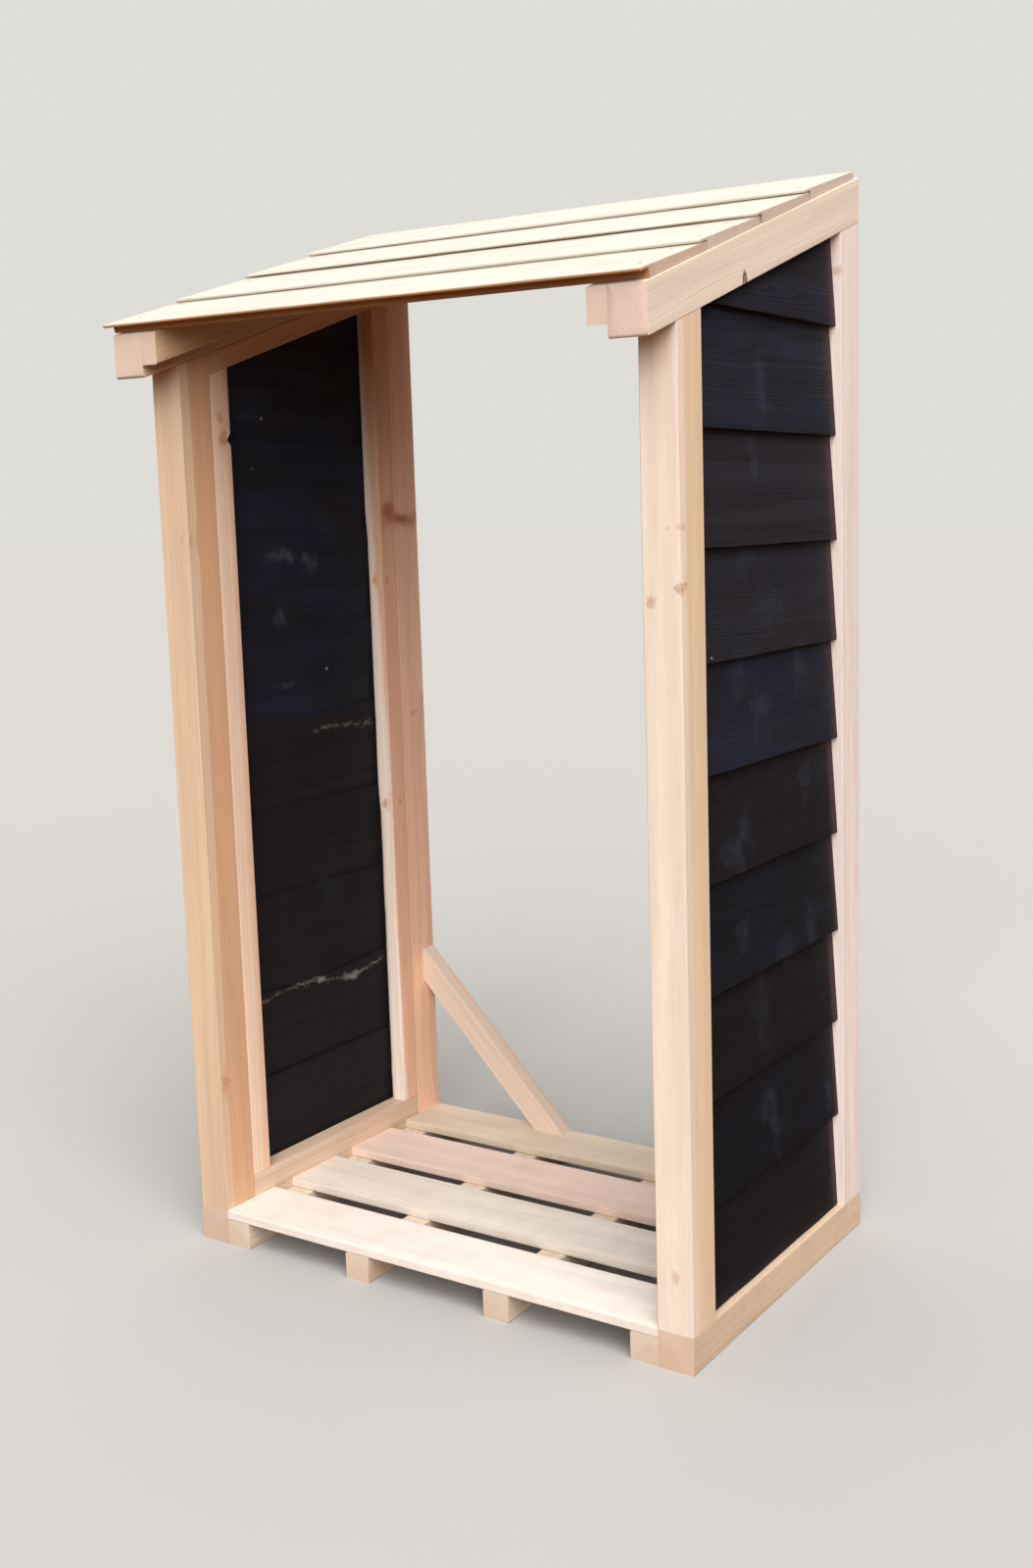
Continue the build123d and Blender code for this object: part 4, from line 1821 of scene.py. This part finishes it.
def side_timbers() -> list[Timber]:
    """Lists the timbers of both side frames that keep their CAD shapes.

    Returns:
        One timber for each node.
    """
    upright, level, sloping = Lie.UPRIGHT, Lie.BACKWARD, Lie.SLOPING
    streak = spots(LEFT_INNER, [(0.310, 1.306, 0.090, 0.020, 0.95, 0.25)])
    left_post = wood((216, 187, 158), (210, 165, 130), heart_radius=0.072)
    right_post = wood((231, 214, 196), (228, 199, 166), contrast=0.15, heart_radius=0.098, wander=0.008)
    left_rafter = wood((208, 175, 138), (200, 160, 120), end=screen(212, 194, 182))
    left_knots = (front_knot(-0.461, 1.279, 0.005, 0.35), inner_knot(-0.261, 1.278, 0.007, 0.3),
                  inner_knot(-0.256, 0.303, 0.009, 0.35))
    right_knots = (front_knot(0.504, 1.289, 0.003, 0.3), front_knot(0.522, 1.290, 0.004, 0.35),
                   front_knot(0.4745, 1.184, 0.007, 0.55),
                   Knot((RIGHT_OUTER, -0.268, 1.201), ARRISWARD, 0.007, 0.6, 0.03),
                   front_knot(0.495, 0.153, 0.007, 0.3))
    rows = [
        ("left_bottom_rail", level, wood((212, 184, 156), (206, 170, 136)), (0.05, 0, -0.04)),
        ("right_bottom_rail", level, RAIL, (-0.05, 0, -0.04)),
        ("left_front_post", upright, left_post, (0.05, 0.055, 0), left_knots),
        ("right_front_post", upright, right_post, (0.008, 0.076, 0), right_knots),
        ("left_rear_post", upright, wood((248, 203, 175), (232, 180, 148)), (-0.05, 0.03, 0),
         (inner_knot(0.3235, 0.910, 0.005, 0.35),), streak),
        ("right_rear_post", upright, wood((238, 222, 213), (234, 213, 201)), (-0.08, 0.02, 0),
         (Knot((RIGHT_OUTER, 0.289, 1.701), RIGHTWARD, 0.006, 0.4),)),
        ("left_outer_rafter", sloping, PINK, (0.05, 0.02, -0.07)),
        ("left_inner_rafter", sloping, left_rafter, (-0.06, 0, -0.05)),
        ("right_inner_rafter", sloping, PINK, (0.06, 0, -0.05)),
        ("left_bottom_batten", level, wood((213, 184, 160), (207, 172, 143)), (-0.05, 0, -0.03)),
        ("right_bottom_batten", level, PINK, (0.05, 0, -0.03)),
        ("left_top_batten", sloping, wood((216, 176, 140), (206, 160, 122)), (-0.06, 0, 0.03)),
        ("right_top_batten", sloping, PINK, (0.06, 0, 0.03)),
        ("right_front_stile", upright, PINK, (0.05, 0.04, 0)),
        ("right_rear_stile", upright, PINK, (-0.02, 0.05, 0)),
        ("left_brace", Lie.FALLING, PINK, (0, 0.07, 0.03)),
        ("right_brace", Lie.RISING, PINK, (0, 0.07, 0.03)),
    ]
    return [Timber(*row) for row in rows]


def worn_timbers() -> list[WornTimber]:
    """Lists the timbers with a waney arris, a chip and a notch.

    Returns:
        One worn timber for each.
    """
    stile = 0.246
    rear = Timber(
        "left_rear_stile", Lie.UPRIGHT,
        wood((240, 224, 210), (236, 188, 158), heart_radius=0.067, heart_taper=0.0150, wander=0.008),
        (0.05, 0.05, 0),
        (front_knot(-0.465, 0.733, 0.006, 0.6, stile), front_knot(-0.468, 1.186, 0.005, 0.4, stile),
         inner_knot(0.271, 0.737, 0.006, 0.5), inner_knot(0.260, 1.185, 0.005, 0.3),
         inner_knot(0.2625, 1.322, 0.012, 0.45)),
        spots(LEFT_INNER, [(0.276, 1.318, 0.050, 0.034, 0.65, 0.3)]))
    front = Timber(
        "left_front_stile", Lie.UPRIGHT, wood((236, 206, 183), (228, 186, 157)), (0.05, 0.06, 0),
        (inner_knot(-0.172, 1.452, 0.009, 0.65), inner_knot(-0.180, 1.49, 0.007, 0.4)))
    # The notch holds dark knot wood, with painted shade over its hollow. The notch's sides look along the
    # rafter, so this stain's mark faces every way.
    rafter = Timber(
        "right_outer_rafter", Lie.SLOPING,
        wood((234, 218, 200), (229, 206, 180), end=screen(202, 168, 158), stain=screen(58, 34, 22)),
        (-0.06, 0.02, -0.07), (),
        (Spot((RIGHT_OUTER, -0.0605, 1.652), (SPOT_DEPTH, 0.0085, 0.0170), (4.0, 0.0, 0.0), 3.0, 0.15),))
    wane = Loss(0, (0.11, 0.70, 0.725, 0.76, 1.27, 1.285, 1.33),
                (0.008, 0.008, 0.008, 0.0045, 0.0045, 0.004, 0.001),
                (0.010, 0.010, 0.009, 0.006, 0.006, 0.005, 0.001), 0.7)
    chip = Loss(2, (1.440, 1.4475, 1.4535, 1.4595, 1.466), (0.0, 0.006, 0.012, 0.006, 0.0),
                (0.0, 0.005, 0.010, 0.005, 0.0), 1.3)
    notch = Loss(1, (-0.0650, -0.0630, -0.061, -0.0585, -0.0565), (0.0, 0.008, 0.011, 0.009, 0.0),
                 (0.0, 0.013, 0.017, 0.013, 0.0), 1.6)
    return [WornTimber(timber, (loss,)) for timber, loss in ((rear, wane), (front, chip), (rafter, notch))]


def floor_timbers() -> list[Timber]:
    """Lists the bearers and boards of the floor, with piths to one side and the other in turn.

    Returns:
        One timber for each node.
    """
    bearers = [Timber(f"floor_bearer_{number}", Lie.BACKWARD, BEARER, (0.03 * (-1) ** number, 0.0, -0.05))
               for number in range(1, 5)]
    boards = [Timber(f"floor_board_{number}", Lie.SIDEWAYS, finish, (0.0, 0.02 * (-1) ** number, -0.09))
              for number, finish in enumerate(FLOOR_BOARDS, 1)]
    return bearers + boards


# Rubbed patches and flecks: Y, Z, half width, half height, strength and how torn the rim is.
RIGHT_RUBS = (
    (0.016, 1.4945, 0.024, 0.0715, 0.255), (-0.003, 1.400, 0.0225, 0.0585, 0.221),
    (0.036, 1.155, 0.09, 0.0455, 0.136), (0.150, 1.054, 0.0375, 0.052, 0.221),
    (-0.0645, 1.063, 0.03, 0.052, 0.221), (0.01, 1.00, 0.045, 0.0585, 0.221),
    (-0.037, 1.235, 0.045, 0.039, 0.136), (-0.085, 0.779, 0.0525, 0.039, 0.221),
    (-0.0575, 0.813, 0.03, 0.039, 0.153), (0.17, 0.86, 0.027, 0.0455, 0.17),
    (-0.062, 0.650, 0.03, 0.0325, 0.221), (0.182, 0.605, 0.033, 0.0455, 0.204),
    (0.086, 0.585, 0.045, 0.0325, 0.136), (0.019, 0.338, 0.03, 0.039, 0.204),
    (0.0435, 0.301, 0.027, 0.065, 0.204), (0.251, 0.292, 0.018, 0.065, 0.255),
    (0.0, 0.50, 0.045, 0.078, 0.119),
)
LEFT_RUBS = (
    (-0.0036, 1.238, 0.075, 0.039, 0.136), (0.0623, 1.217, 0.03, 0.039, 0.153),
    (0.0013, 1.124, 0.03, 0.039, 0.136), (0.14, 1.30, 0.045, 0.065, 0.102),
    (-0.079, 1.495, 0.03, 0.0104, 0.187), (0.10, 0.60, 0.045, 0.052, 0.102),
)
LEFT_FLECKS = (
    (-0.031, 1.495, 0.0035, 0.0035, 0.9, 0.1), (-0.0635, 1.404, 0.0025, 0.0025, 0.7, 0.1),
    (0.115, 1.021, 0.0035, 0.0035, 0.9, 0.1), (0.0535, 0.412, 0.020, 0.007, 0.30, 0.6),
    (0.140, 0.398, 0.036, 0.009, 0.26, 0.8), (-0.001, 1.242, 0.034, 0.012, 0.065, 0.7),
    (0.066, 1.236, 0.034, 0.016, 0.07, 0.7), (-0.002, 1.125, 0.016, 0.014, 0.06, 0.7),
    (-0.019, 1.002, 0.044, 0.009, 0.065, 0.7),
)
# Lines of missed stain: Y and Z of the start, Y and Z of the end, width and strength.
LEFT_LINES = tuple(
    BareLine((LEFT_BOARDS, y, z), (LEFT_BOARDS, end_y, end_z), width, strength)
    for y, z, end_y, end_z, width, strength in (
        (0.064, 0.906, 0.246, 0.899, 0.0060, 0.30), (-0.128, 0.411, 0.050, 0.414, 0.0045, 0.30),
        (0.040, 0.412, 0.150, 0.392, 0.0045, 0.36), (0.140, 0.392, 0.246, 0.410, 0.0045, 0.46)))

# The side boards, from the lowest up: how brown each is, how light each is in painted light and shade, and
# dips by number.
LEFT_CLADDING = SideCladding(
    Side.LEFT, (1.0, 0.9, 0.9, 0.8, 0.7, 0.2, 0.1, 0.0, 0.0, 0.0),
    (0.40, 0.41, 0.47, 0.52, 0.60, 0.92, 1.15, 1.40, 1.70, 2.20), ((5, 0.010), (2, 0.014)))
RIGHT_CLADDING = SideCladding(
    Side.RIGHT, (0.5, 0.1, 0.8, 0.0, 0.8, 0.1, 0.6, 0.7, 0.3, 0.5),
    (0.36, 0.34, 0.34, 0.50, 0.46, 1.00, 1.04, 1.03, 1.16, 1.16))
LEFT_SEED, RIGHT_SEED, ROOF_SEED, WORN_SEED = 11, 12, 21, 31

ZINC = NailFinish(screen(168, 168, 170), 0.85, 0.42)
STAINED = NailFinish(screen(34, 34, 40), 0.2, 0.5)
BOARD_NAIL, ROOF_NAIL, BRIGHT_PROUD = 0.0026, 0.0034, 0.0018
BRIGHT_NAIL = (0.5158, -0.165, 1.093)


def main() -> None:
    """Builds the pieces in order, then the studio and the camera."""
    effects = Effects()
    stain = BlackStain()
    left = stain.material("left_black_stain", effects, spots(LEFT_BOARDS, LEFT_RUBS),
                          spots(LEFT_BOARDS, LEFT_FLECKS), LEFT_LINES)
    right = stain.material("right_black_stain", effects, spots(RIGHT_BOARDS, RIGHT_RUBS))
    stained, zinc = STAINED.material("stained_nails"), ZINC.material("zinc_nails")
    left_nails = LEFT_CLADDING.build(left, LEFT_SEED)
    right_nails = RIGHT_CLADDING.build(right, RIGHT_SEED)
    Nails("left_board_nails", BOARD_NAIL).build(*left_nails, stained, Slot.BLACK)
    Nails("right_board_nails", BOARD_NAIL).build(*right_nails, stained, Slot.BLACK)
    bright = Nails("bright_nail", BOARD_NAIL, BRIGHT_PROUD)
    bright.build(np.array([BRIGHT_NAIL]), np.array([RIGHTWARD]), zinc, Slot.BLACK)
    roof_nails = RoofBoards().build(effects, SAWN, ROOF_SEED)
    Nails("roof_nails", ROOF_NAIL).build(*roof_nails, zinc, Slot.ROOF)
    for timber in side_timbers() + floor_timbers():
        timber.dress(effects)
    for number, worn in enumerate(worn_timbers()):
        worn.build(effects, WORN_SEED + number)
    Studio().build()
    Camera().build()
    bpy.context.scene.view_settings.view_transform = "Standard"


if __name__ == "__main__":
    logging.basicConfig(level=logging.INFO, format="%(message)s")
    main()
